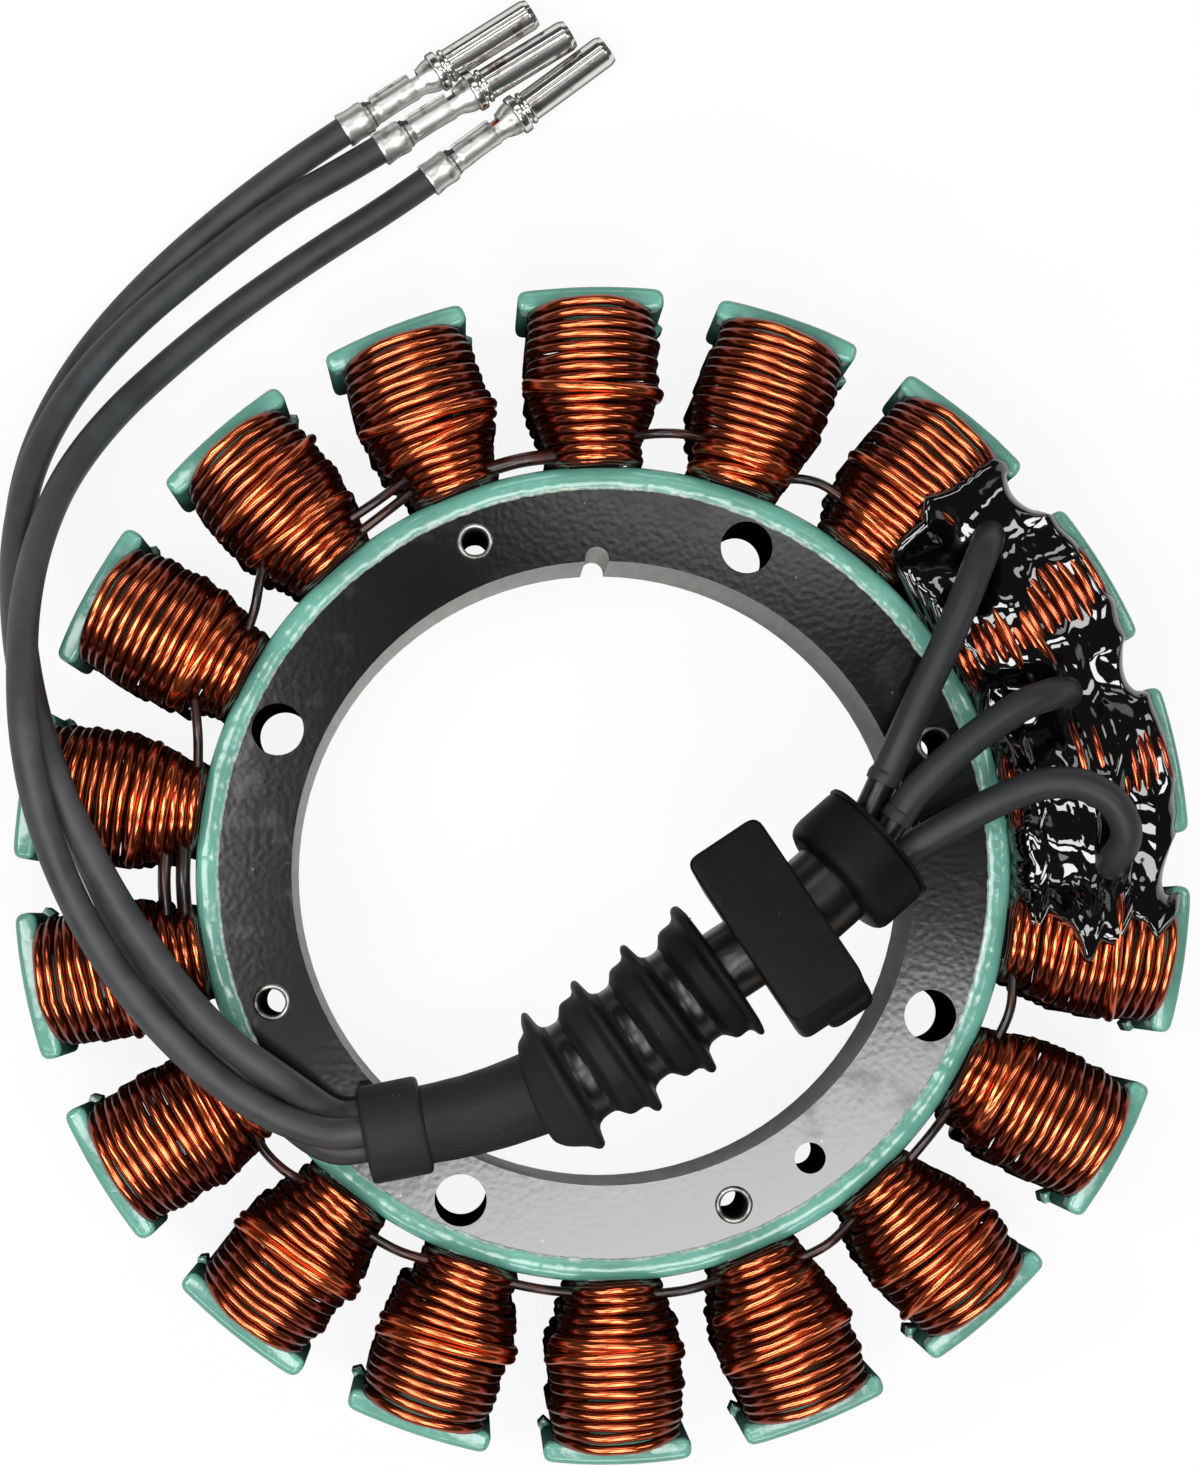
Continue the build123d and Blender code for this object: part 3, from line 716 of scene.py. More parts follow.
def turn_outline():
    """Unit outline of one turn: across, height above the side's end, crown and which end."""
    crown_steps, side_steps = 15, 6
    half = []
    for i in range(crown_steps):
        a = math.pi * i / (crown_steps - 1)
        c, s = math.cos(a), math.sin(a)
        half.append((math.copysign(abs(c)**(2 / CROWN_POWER), c), abs(s)**(2 / CROWN_POWER),
                     abs(s)))
    ends = [1 - 2 * (i + 1) / (side_steps + 1) for i in range(side_steps)]
    rows = [(x, z, crown, 1.0) for x, z, crown in half]
    rows += [(-1.0, 0.0, 0.0, end) for end in ends]
    rows += [(-x, -z, crown, -1.0) for x, z, crown in half]
    rows += [(1.0, 0.0, 0.0, -end) for end in ends]
    return np.array(rows)


def winding_turns(rng):
    """Centreline points and crown values of every turn of one winding, along +Y."""
    turns, wire_r = sizes().turns, sizes().wire_radius / MM
    x0, z0, crown, end = turn_outline().T
    first_r = WINDING_R[0] + wire_r
    loops = []
    slant = rng.uniform(-0.35, 0.35)
    spill = [rng.uniform(0.4, 1.5) for _ in range(2)]
    for k in range(turns):
        share = k / (turns - 1)
        side_r = first_r + (LAST_SIDE_R - first_r) * share
        lean = (WINDING_R[-1] - wire_r - LAST_SIDE_R) * share**2
        half_w, half_h = (half - wire_r for half in half_sizes(side_r))
        near_root = math.exp(-((k - SPILL_TURN) / SPILL_WIDTH)**2)
        right, left = (rng.gauss(0, 0.16) + reach * near_root * rng.uniform(0.0, 0.8)
                       for reach in spill)
        slant = 0.6 * slant + rng.gauss(0, 0.08)
        x = x0 * half_w + np.where(x0 > 0, right, -left) * np.abs(x0)**3
        high = half_h - rng.uniform(0.0, 0.22)
        z = MID_Z + end * (high - CROWN_H) + z0 * CROWN_H
        phase = rng.uniform(0, 6.28)
        wave = 0.09 * np.sin(3.0 * x0 + phase) + 0.05 * np.sin(7.0 * x0 - phase)
        y = side_r + lean * crown**2 + slant * x0 * np.sign(end) + wave + rng.gauss(0, 0.05)
        loops.append(np.stack([x, np.maximum(y, first_r), z], axis=1))
    root_w, root_h = WINDING_HALF_W[0] - 1.1, WINDING_HALF_H[0] - 1.7
    root_z = MID_Z + end * (root_h - CROWN_H) + z0 * CROWN_H
    loops.append(np.stack([x0 * root_w, first_r - 0.25 + 0.1 * np.sin(4 * x0), root_z], axis=1))
    return np.array(loops), crown


def wire_rings(loops, wire_r):
    """Vertices round closed centrelines, as an array of loops, points, sides and 3."""
    way = np.roll(loops, -1, axis=1) - np.roll(loops, 1, axis=1)
    way /= np.linalg.norm(way, axis=2, keepdims=True)
    out = np.zeros_like(way)
    out[..., 1] = 1
    out -= way * (out * way).sum(axis=2, keepdims=True)
    out /= np.linalg.norm(out, axis=2, keepdims=True)
    side = np.cross(out, way)
    a = np.linspace(0, TAU, WIRE_SIDES, endpoint=False)
    return (loops[:, :, None] + wire_r * (np.cos(a)[:, None] * side[:, :, None]
                                          + np.sin(a)[:, None] * out[:, :, None]))


# Way of a crossing wire over a winding: share of the half width, depth under the crown, share of
# its slant
CROSSING = ((1.0, 11.0, 0.0), (1.02, 5.0, 0.1), (0.82, 2.1, 0.25), (0.35, 0.3, 0.42),
            (-0.35, 0.25, 0.6), (-0.82, 2.1, 0.78), (-1.02, 5.0, 0.92), (-1.0, 11.0, 1.0))


def crossing_strands(rng):
    """Paths of a few wires of the outer layer that cross the front of a winding askew."""
    paths = []
    for _ in range(sizes().crossings):
        start_r = rng.uniform(52.5, 63.0)
        shift = rng.choice((-1, 1)) * rng.uniform(0.8, 2.6)
        flip = rng.choice((-1, 1))
        points = []
        for x, sink, t in CROSSING:
            r = start_r + shift * t
            half_w, half_h = half_sizes(r)
            buried = -0.9 if sink > 10 else 0.0
            points.append((flip * x * (half_w + buried - 0.25), r, MID_Z + half_h - sink - 0.1))
        paths.append(through(points, 5))
    return paths


def build_winding(number):
    """One winding of separate turns, standing for a CAD coil."""
    rng = random.Random(100 + number)
    loops, crown = winding_turns(rng)
    wire_r = sizes().wire_radius / MM
    turn = (number - 1) * PITCH
    shape = Shape()
    lit = []
    # Painted light on each turn: brightest on the winding's crown and on the wire's own top and
    # bottom, shaded on its flanks in the grooves between wires.
    round_wire = np.linspace(0, TAU, WIRE_SIDES, endpoint=False)
    facing = 0.35 + 0.65 * np.abs(np.cos(round_wire))
    for loop in wire_rings(loops, wire_r):
        shape.add(turned(skin(loop.tolist(), closed=True), turn))
        lit += (crown[:, None] * facing).ravel().tolist()
    for path in crossing_strands(rng):
        shape.add(turned(tube(path, wire_r * 0.97, STRAND_SIDES), turn))
        # Painted light on a crossing wire: bright where it crosses the crown, shaded where it runs
        # down the sides.
        reach = np.linspace(0, math.pi, len(path))
        lit += np.repeat(np.sin(reach)**0.7, STRAND_SIDES).tolist()
    piece = shape.link(f"winding_{number:02d}", ["enamelled_copper"], "copper_wire",
                       f"coil_{number:02d}")
    # These crown values hold the painted light and shade that the copper's colour follows.
    mark = piece.data.attributes.new("crown", "FLOAT", "POINT")
    mark.data.foreach_set("value", [value * POTTED.get(number, 1.0) for value in lit])


# Wire ends across the gaps: gap's angle, then points as (place across, radius, height), and the
# wire's radius. A place across is a share of the gap's half width between two coated stems there.
GAP_R = 52
GAP_SIDE = 5.2
WIRE_ENDS = [
    (60, [(-1.1, 52.4, 26.0), (-0.5, 53.6, 27.4), (0.2, 54.3, 27.2), (1.1, 54.0, 26.4)], 0.6),
    (80, [(-1.2, 53.2, 26.2), (-0.4, 53.9, 27.6), (0.4, 54.3, 27.4), (1.2, 54.2, 26.2)], 0.6),
    (100, [(-1.2, 51.0, 26.0), (0.0, 51.3, 26.6), (1.2, 51.0, 26.0)], 0.9),
    (120, [(-1.2, 50.9, 25.6), (0.0, 51.4, 26.3), (1.2, 52.0, 25.8)], 0.6),
    (120, [(-1.2, 52.9, 26.0), (0.0, 53.1, 26.6), (1.2, 53.6, 26.0)], 0.6),
    (140, [(-1.3, 52.0, 25.8), (-0.4, 53.3, 26.6), (0.3, 54.8, 26.6), (1.2, 56.6, 25.8)], 0.6),
    (160, [(-1.2, 50.6, 25.8), (0.0, 52.2, 26.6), (1.2, 54.4, 26.0)], 0.6),
    (180, [(-1.2, 51.0, 25.9), (0.0, 51.2, 26.6), (1.2, 51.0, 25.9)], 0.9),
    (180, [(-1.2, 53.3, 25.9), (0.0, 53.5, 26.4), (1.2, 53.2, 25.9)], 0.8),
    (200, [(-1.2, 51.3, 25.9), (0.0, 51.7, 26.6), (1.2, 51.5, 25.9)], 0.6),
    (220, [(-1.3, 51.6, 25.8), (-0.5, 52.8, 27.4), (0.4, 53.2, 27.0), (1.2, 52.6, 25.8)], 0.6),
    (240, [(-1.2, 51.3, 25.9), (0.0, 52.2, 26.8), (1.2, 52.2, 25.9)], 0.6),
    (260, [(-1.2, 50.9, 25.8), (0.0, 51.1, 26.3), (1.2, 50.9, 25.8)], 0.6),
    (280, [(-1.2, 51.2, 25.8), (0.0, 51.6, 26.5), (1.2, 51.3, 25.8)], 0.6),
    (300, [(-1.3, 51.4, 25.8), (0.0, 52.6, 26.9), (1.2, 52.4, 25.8)], 0.6),
    (320, [(-1.2, 50.8, 25.9), (0.0, 50.9, 26.5), (1.2, 50.8, 25.9)], 0.6),
    (340, [(-1.3, 51.0, 25.8), (0.0, 52.2, 26.4), (1.2, 51.8, 25.8)], 0.6),
]


def build_wire_ends():
    """The ends and joints of the windings' wires where they cross the open gaps."""
    half_gap = GAP_R * math.tan(math.radians(PITCH / 2)) - GAP_SIDE
    for number, (gap, points, wire_r) in enumerate(WIRE_ENDS, start=1):
        path = through([(place * half_gap, r, z) for place, r, z in points], 7)
        Shape().add(turned(tube(path, wire_r, 12), gap - FIRST_TOOTH)).link(
            f"wire_end_{number:02d}", ["varnished_wire"], "copper_wire", f"link_wire_{number:02d}")


# Potting resin: its edge on the last windings as (radius, angle)
RESIN_LATE_EDGE = [(49.6, 37.0), (50.4, 42.0), (51.7, 47.6), (54.4, 47.8), (57.3, 47.5),
                   (59.9, 49.3), (62.8, 47.5), (66.1, 46.8), (69.0, 46.2), (70.7, 45.2)]
RESIN_EARLY_EDGE = [(49.6, -6.0), (51.2, -9.1), (53.1, -10.1), (54.0, -7.1), (55.3, -7.9),
                    (56.9, -8.9), (59.2, -12.8), (60.0, -12.6), (60.6, -10.2), (63.0, -10.3),
                    (64.2, -7.0), (65.6, -7.4), (67.4, -9.2), (68.6, -7.8), (69.7, -6.4),
                    (70.7, -5.6)]
# Places where copper shows through: radius, angle, half size outwards and along, depth
COPPER_SHOWS = [
    (65.6, 29.6, 5.6, 4.8, 1.2), (53.6, 28.4, 3.0, 3.2, 1.1), (59.4, 27.9, 1.8, 2.4, 0.8),
    (67.4, 10.0, 3.6, 4.4, 1.15), (56.9, 13.8, 1.1, 2.0, 1.1), (53.5, 12.7, 0.9, 1.4, 1.0),
    (52.2, 4.4, 0.9, 1.8, 1.1), (55.2, 4.0, 0.9, 1.6, 1.0), (58.9, 4.9, 0.8, 1.6, 0.9),
]
RESIN_IN_R = 49.7
RESIN_OUT_R = 70.2
RESIN_BOTTOM = 6.0
GAP_LEVEL = 28.0
RESIN_STEPS = (230, 84)
SETTLING_ROUNDS = 22
# Radius of the hollow in the resin's rim between two shoes, and distance of its centre
MENISCUS_R = 4.3
MENISCUS_PITCH_R = 72.4


def nearest(angle, first):
    """The angle nearest to this one in steps of a tooth from the first."""
    return round((angle - first) / PITCH) * PITCH + first


def crown_height(r, angle):
    """Height of the windings' outer face at a place, or its ends' height between windings."""
    off = math.radians(angle - nearest(angle, FIRST_TOOTH))
    half_w, half_h = (float(half) for half in half_sizes(r * math.cos(off)))
    share = min(abs(r * math.sin(off)) / half_w, 1.0)
    return MID_Z + half_h - CROWN_H * (1 - (1 - share**CROWN_POWER)**(1 / CROWN_POWER))


def soft_max(a, b, width):
    """The larger of two numbers with a smooth change between them."""
    h = max(width - abs(a - b), 0) / width
    return max(a, b) + h * h * width / 4


def resin_outer_r(angle):
    """Outer edge of the resin: over the shoes' inner lips, hollow between them."""
    gap = nearest(angle, FIRST_TOOTH + PITCH / 2)
    along = MENISCUS_PITCH_R * math.sin(math.radians(angle - gap))
    outer = RESIN_OUT_R + 0.45 * ripple(angle, 0, 0, 2.3)
    if abs(along) < MENISCUS_R:
        outer = min(outer, MENISCUS_PITCH_R - math.sqrt(MENISCUS_R**2 - along**2))
    return outer


def resin_height(r, angle):
    """Height of the poured resin at a place, before its edges are turned down."""
    x, y = radial(r, angle)
    bent_x, bent_y = (v + 1.2 * ripple(x, y, 0, 5.0, seed) for v, seed in ((x, 12.0), (y, 17.0)))

    def lumps(size, seed):
        return ripple(bent_x, bent_y, 0, size, seed)

    over = crown_height(r, angle) + sizes().resin_cover / MM
    over += 1.1 * lumps(5.2, 2.0)
    over += 0.8 * lumps(3.2, 5.0)
    for patch_r, patch_a, half_r, half_along, depth in COPPER_SHOWS:
        along = math.radians(angle - patch_a) * r
        away = ((r - patch_r) / half_r)**2 + (along / half_along)**2
        over -= depth * math.exp(-away**1.5)
    level = GAP_LEVEL + 1.1 * lumps(6.0, 9.0)
    level += 0.9 * lumps(3.4, 4.0)
    shoe = coat_high.z + 0.5 + 0.5 * lumps(3.0, 21.0)
    return max(soft_max(over, level, 2.2), shoe)


def settled(heights, rounds):
    """A grid of heights after it has flowed a little, like a liquid."""
    for _ in range(rounds):
        wide = np.pad(heights, 1, mode="edge")
        heights = (wide[1:-1, :-2] + 2 * wide[1:-1, 1:-1] + wide[1:-1, 2:]) / 4
        wide = np.pad(heights, 1, mode="edge")
        heights = (wide[:-2, 1:-1] + 2 * wide[1:-1, 1:-1] + wide[2:, 1:-1]) / 4
    return heights


def drop_off(away, reach, power):
    """One at an edge, falling to none at that reach from it."""
    return (1 - np.minimum(away / reach, 1.0))**power


def resin_surface():
    """Grid of points on the poured resin, one row after the other."""
    across_steps, out_steps = RESIN_STEPS
    late_r, late_a = zip(*RESIN_LATE_EDGE)
    early_r, early_a = zip(*RESIN_EARLY_EDGE)
    places = []
    for i in range(across_steps + 1):
        share = i / across_steps
        from_end = min(share, 1 - share)
        mid_angle = early_a[-1] + (late_a[-1] - early_a[-1]) * share
        outer = resin_outer_r(mid_angle)
        corner = from_end * math.radians(late_a[-1] - early_a[-1]) * outer
        outer -= 1.3 * drop_off(corner, 1.5, 2)
        inner = (RESIN_IN_R + 0.5 * ripple(mid_angle, 0, 3, 2.5)
                 + 0.25 * ripple(mid_angle, 0, 8, 0.8))
        width = outer - inner
        for j in range(out_steps + 1):
            reach = j / out_steps
            r = inner + width * reach
            start = float(np.interp(r, early_r, early_a)) + 0.3 * ripple(r, 0, 0, 0.9)
            end = float(np.interp(r, late_r, late_a)) + 0.3 * ripple(r, 4, 0, 0.9)
            angle = start + (end - start) * share
            ends = from_end * (end - start) * math.pi / 180 * r
            places.append((*radial(r, angle), resin_height(r, angle), ends, width * (1 - reach),
                           width * reach))
    x, y, z, ends, rim, root = np.array(places).T
    z = settled(z.reshape(-1, out_steps + 1), SETTLING_ROUNDS).ravel()
    z -= 2.4 * drop_off(ends, 1.9, 2.2)
    z -= 1.6 * drop_off(rim, 1.1, 2)
    z -= (z - coat_high.z + 0.35) * drop_off(root, 2.6, 1.8)
    return np.stack([x, y, z], axis=1).tolist()


def build_resin():
    """The poured resin as one closed skin that wires and shoes stand out of."""
    across_steps, out_steps = RESIN_STEPS
    verts = resin_surface()
    count = out_steps + 1
    faces = [(a, a + 1, a + count + 1, a + count)
             for i in range(across_steps) for a in range(i * count, i * count + out_steps)]
    last = across_steps * count
    edge = list(range(count)) + list(range(count + out_steps, last + count, count))
    edge += list(range(last + out_steps - 1, last - 1, -1)) + list(range(last - count, 0, -count))
    previous = edge
    for depth in (0.8, 3.0, 8.0, STACK_T):
        start = len(verts)
        verts += [(x, y, max(z - depth, RESIN_BOTTOM)) for x, y, z in (verts[i] for i in edge)]
        ring = list(range(start, len(verts)))
        for k in range(len(edge)):
            n = (k + 1) % len(edge)
            faces.append((previous[n], previous[k], ring[k], ring[n]))
        previous = ring
    faces.append(tuple(reversed(previous)))
    Shape().add((verts, faces)).link("poured_resin", ["potting_resin"], "resin", "potting_resin",
                                     crease=50)


# Rivets: their number, distance from the bore's axis, angle of the first, and radii of the tube
RIVETS = 4
RIVET_PITCH_R = 43.4
RIVET_ANGLE = 20.0
RIVET_BORE, RIVET_MOUTH, RIVET_SHANK, RIVET_RIM = 1.6, 1.75, 1.8, 2.3


def rivet_end(face, out):
    """Profile of a rivet's rolled rim at a face, from the bore to the shank."""
    steps = ((0.9, RIVET_BORE), (0.35, RIVET_BORE + 0.03), (0.06, RIVET_MOUTH - 0.05),
             (0.0, RIVET_MOUTH + 0.2), (0.02, RIVET_RIM - 0.25), (0.14, RIVET_RIM - 0.04),
             (0.3, RIVET_RIM), (0.36, RIVET_SHANK))
    return [(face - out * depth, r) for depth, r in steps]


def build_rivets():
    """Tubular rivets with a rolled rim on each face."""
    profile = rivet_end(rivet_low.z, -1) + rivet_end(rivet_high.z, 1)[::-1]
    for number in range(RIVETS):
        centre = (*radial(RIVET_PITCH_R, RIVET_ANGLE + 360 / RIVETS * number), 0)
        tube_part = lathe(centre, (0, 0, 1), profile, 40, hollow=True, up=(1, 0, 0),
                          wobble=round_ripple(3, 0.05, 2.0, 5.0 * number))
        Shape().add(tube_part).link(f"tube_rivet_{number + 1}", ["stained_steel"], "rivet_steel",
                                    f"rivet_{number + 1}")


# Rubber moulding round the leads: middles of its forms, from the short leads to the long ones
COLLAR_1 = Vector((29.9, 0.4, 34.2))
BLOCK = Vector((20.6, -7.4, 35.3))
RIBS = [Vector(p) for p in ((13.0, -12.2, 35.0), (6.9, -16.6, 34.8), (0.6, -20.9, 34.7),
                            (-5.9, -24.9, 34.6))]
BEND = [Vector(p) for p in ((-9.1, -26.3, 34.3), (-15.8, -28.5, 33.0), (-21.8, -29.75, 31.7))]
COLLAR_2 = Vector((-26.1, -30.45, 31.1))
COLLAR_2_WAY = Vector((*radial(1, 190), 0))
NECK_WAY = (BLOCK - COLLAR_1).normalized()
BLOCK_SIZE = (10.1, 23.6, 15.5)
BLOCK_ROLL = 12.0
BELLOWS_SIDES = 96
NECK_R, GROOVE_R, BEND_R = 4.6, 6.4, 5.1
# Where the first rib begins before its crest, and where the last one ends behind it
RIB_BEFORE, RIB_BEHIND = 0.95, 3.4
# Section of one rib: distance from its crest and radius, and the same behind the last one
RIB = [(-2.3, GROOVE_R), (-1.9, GROOVE_R + 0.05), (-1.3, 6.7), (-0.95, 7.1), (-0.72, 8.2),
       (-0.62, 8.9), (-0.4, 9.25), (-0.05, 9.4), (0.3, 9.25), (0.55, 8.9), (0.75, 8.3), (1.2, 7.95),
       (1.7, 7.9), (2.6, 7.9), (3.1, 7.7), (3.5, 7.2), (3.9, 6.7), (4.3, 6.45), (4.8, GROOVE_R)]
RIB_END = [(1.0, 8.4), (2.6, 6.95), (3.1, 6.5), (3.35, 6.1), (RIB_BEHIND, BEND_R)]
PARTING_ANGLE = -128


def collar_profile(length, radius, start_round, end_round):
    """Profile of a collar between its two faces, with rounded corners."""
    half = length / 2
    points = [(-half, 0.3), (-half, radius), (half, radius), (half, 0.3)]
    return rounded(points, [0, start_round, end_round, 0], 5)


def bellows_path():
    """Axis of the neck, the ribs and the bend, and the distance of each rib along it."""
    steps = 40
    start = BLOCK + (RIBS[0] - BLOCK).normalized() * 3.0
    path = through([start] + RIBS + BEND + [COLLAR_2], steps)
    distance = [0.0]
    for a, b in zip(path, path[1:]):
        distance.append(distance[-1] + (b - a).length)
    return path, distance, [distance[steps * (i + 1)] for i in range(len(RIBS))]


def bellows_radius(along, ribs):
    """Radius of the moulding at a distance along its axis."""
    if along < ribs[0] - RIB_BEFORE:
        return NECK_R
    if along > ribs[-1] + RIB_BEHIND:
        return BEND_R - 0.4 * min((along - ribs[-1] - RIB_BEHIND) / 16, 1)
    points = []
    for n, rib in enumerate(ribs):
        last = n == len(ribs) - 1
        low, high = (-RIB_BEFORE if n == 0 else -math.inf), (0.4 if last else math.inf)
        points += [(rib + d, r) for d, r in RIB if low <= d <= high]
        points += [(rib + d, r) for d, r in RIB_END if last]
    return float(np.interp(along, *zip(*points)))


def build_moulding():
    """Collars, necks, block, bellows and bend as one piece of rubber."""
    shape = Shape()
    shape.add(lathe(COLLAR_1, NECK_WAY, collar_profile(7.3, 8.2, 0.9, 2.0), 72,
                    wobble=round_ripple(5, 0.07, 2.5, 1.0)))
    shape.add(lathe(COLLAR_1, NECK_WAY, [(0, 5.45), (9, 5.45)], 40,
                    wobble=round_ripple(5, 0.07, 3.0, 2.0)), finish=1)
    lip = [(-4.05, 7.9), (-4.0, 8.25), (-3.6, 8.35), (-3.4, 8.1)]
    shape.add(lathe(COLLAR_1, NECK_WAY, lip, 72, wobble=round_ripple(5, 0.12, 1.2, 8.0)))
    add_block(shape)
    path, distance, ribs = bellows_path()

    def radius(i, a):
        rough = 0.10 if distance[i] < ribs[-1] + RIB_BEHIND else 0.05
        return bellows_radius(distance[i], ribs) + round_ripple(6, rough, 2.6, 3.0)(distance[i], a)

    start = len(shape.index)
    shape.add(tube(path, radius, BELLOWS_SIDES))
    glossy = []
    for before, after in zip(distance, distance[1:]):
        d = (before + after) / 2
        groove = any(4.0 < d - rib < 6.0 for rib in ribs[:-1])
        glossy += [1 if groove or d < ribs[0] - 0.9 else 0] * BELLOWS_SIDES
    shape.index[start:start + len(glossy)] = glossy
    shape.add(lathe(COLLAR_2, COLLAR_2_WAY, collar_profile(7.6, 5.95, 0.9, 0.9), 64,
                    wobble=round_ripple(5, 0.1, 2.8, 4.0)))
    add_parting_line(shape, path, distance, ribs)
    add_flash(shape)
    shape.link("rubber_moulding", ["matt_rubber", "glossy_rubber"], "rubber", "lead_grommet",
               crease=50)


def level_left(ahead):
    """Level direction to the left of a heading."""
    return Vector((-ahead.y, ahead.x, 0)).normalized()


def add_block(shape):
    """Rolled block with the step on its end, softly rounded."""
    ahead = (RIBS[0] - BLOCK).normalized()
    left = level_left(ahead)
    roll = math.radians(BLOCK_ROLL)
    up = ahead.cross(left) * math.cos(roll) - left * math.sin(roll)
    left = up.cross(ahead)
    length, width, height = BLOCK_SIZE
    for (cx, cy), size_x, size_y, top in (((0, 0), length, width, height),
                                          ((-1.75, 0.45), 6.6, width + 0.9, 5.0)):
        hx, hy = size_x / 2, size_y / 2
        corners = [(cx - hx, cy - hy), (cx + hx, cy - hy), (cx + hx, cy + hy), (cx - hx, cy + hy)]
        loop = rounded(corners, [1.6] * 4, 5, closed=True)
        verts, faces = soft_prism(loop, -height / 2, top - height / 2, 0.45)
        shape.add(([BLOCK + ahead * x + left * y + up * z for x, y, z in verts], faces))


def add_parting_line(shape, path, distance, ribs):
    """Thin raised line where the mould's halves met, along the bend and the second collar."""
    points = []
    for i, (side, top) in enumerate(frames(path)):
        if distance[i] > ribs[-1] + 3.5 and i % 6 == 0:
            r = bellows_radius(distance[i], ribs) + 0.02
            a = math.radians(PARTING_ANGLE) + 0.05 * ripple(distance[i], 0, 0, 2.0)
            points.append(path[i] - side * (r * math.cos(a)) - top * (r * math.sin(a)))
    shape.add(tube(through(points, 3), 0.13, 6))


def add_flash(shape):
    """Small torn spurs of rubber on the first rib."""
    ahead = (RIBS[1] - RIBS[0]).normalized()
    left = level_left(ahead)
    base = RIBS[0] - ahead * 0.2 - left * 7.0
    for out, size in ((0.0, 1.1), (1.2, 0.8)):
        root = base + left * out
        tip = root - ahead * size + Vector((0, 0, 0.6))
        spur = through([root, root - ahead * 0.5 * size, tip], 3)
        shape.add(tube(spur, lambda i, a: 0.28 - 0.04 * i, 6))


# Short leads: place of each on the first collar's face (left, up), straight run, distance to the
# sleeve's mouth, and the next point
INNER_WIRE_R = 1.78
SHORT_STARTS = [
    ((3.4, 0.4), 1.6, 6.2, (35.9, 15.0, 34.6)),
    ((0.2, 1.6), 1.6, 3.8, (37.1, 8.6, 35.5)),
    ((-3.2, 0.1), 3.0, 1.2, (42.2, 5.1, 34.5)),
]
# Long leads: points along each, from the second collar into the terminal
LEAD_R = 1.9
LEAD_STARTS = [
    [(-29.61, -32.44, 30.0), (-31.77, -32.82, 30.0)],
    [(-30.28, -28.60, 30.0), (-32.06, -28.91, 30.0)],
    [(-29.97, -30.37, 33.7), (-32.53, -30.82, 33.7)],
]
LEAD_ROUTES = [
    [(-34.4, -32.4, 29.8), (-37.3, -30.5, 30.3), (-41.2, -26.6, 31.9), (-46.6, -21.1, 32.8),
     (-51.9, -15.2, 32.8), (-57.6, -6.7, 32.8), (-61.9, 2.9, 33.0), (-65.1, 10.7, 34.2),
     (-67.7, 18.2, 32.6), (-69.7, 25.6, 27.2), (-71.2, 33.6, 18.2), (-72.4, 42.6, 9.0),
     (-71.3, 53.4, 2.5), (-67.4, 63.0, -1.4), (-61.4, 71.6, -3.2), (-53.1, 80.0, -3.6),
     (-43.3, 87.9, -3.6)],
    [(-34.2, -28.1, 31.0), (-36.6, -26.2, 33.2), (-40.2, -23.4, 35.8), (-46.2, -19.0, 36.8),
     (-52.0, -12.2, 36.9), (-57.7, -3.9, 36.9), (-62.0, 4.2, 37.1), (-65.2, 11.6, 38.4),
     (-67.9, 19.0, 37.2), (-69.9, 26.8, 31.9), (-71.3, 34.8, 23.1), (-71.9, 43.6, 14.1),
     (-70.3, 53.6, 7.2), (-65.6, 63.0, 2.4), (-58.2, 71.4, 0.2), (-48.4, 79.5, -1.0),
     (-38.3, 87.0, -1.6)],
    [(-36.0, -30.1, 34.7), (-40.6, -28.2, 35.8), (-47.1, -24.0, 36.5), (-54.8, -16.2, 36.6),
     (-61.0, -7.6, 36.8), (-65.2, 1.6, 38.5), (-67.6, 10.0, 41.4), (-68.8, 18.6, 42.0),
     (-69.2, 26.8, 37.8), (-69.5, 34.4, 29.2), (-68.7, 42.6, 18.8), (-66.1, 51.2, 9.5),
     (-60.8, 59.4, 2.4), (-53.7, 66.6, -2.2), (-44.9, 73.8, -3.6), (-34.2, 80.9, -3.4)],
]
LEAD_ENDS = [
    [(-33.92, 94.32, -2.75), (-26.91, 98.58, -2.75)],
    [(-29.35, 91.77, -2.05), (-22.28, 95.93, -2.05)],
    [(-23.06, 87.48, -2.75), (-16.38, 92.23, -2.75)],
]


def build_short_leads():
    """The short leads' sleeves keep their CAD shape, and glossy inner wires run into them."""
    left = level_left(NECK_WAY)
    up = NECK_WAY.cross(left)
    mouth_rim = [(0, INNER_WIRE_R), (0.05, 2.02), (0.9, 2.06), (1.5, 1.96), (1.6, INNER_WIRE_R)]
    for number, ((across, high), run, mouth, target) in enumerate(SHORT_STARTS, start=1):
        dress(f"short_sleeve_{number}", "satin_sleeving")
        seat = COLLAR_1 - NECK_WAY * 3.2 - left * across + up * high
        bend = seat - NECK_WAY * run
        heading = (Vector(target) - bend).normalized() if mouth > run else -NECK_WAY
        shape = Shape()
        shape.add(tube(through([seat, bend, bend + heading * (mouth - run + 1.5)], 8),
                       INNER_WIRE_R, 24))
        shape.add(lathe(bend + heading * (mouth - run - 0.4), heading, mouth_rim, 32,
                        wobble=round_ripple(3, 0.1, 1.5, 6.0 * number)), finish=1)
        shape.link(f"inner_wire_{number}", ["glossy_rubber", "satin_sleeving"], "lead_jacket",
                   f"short_wire_{number}", crease=50)


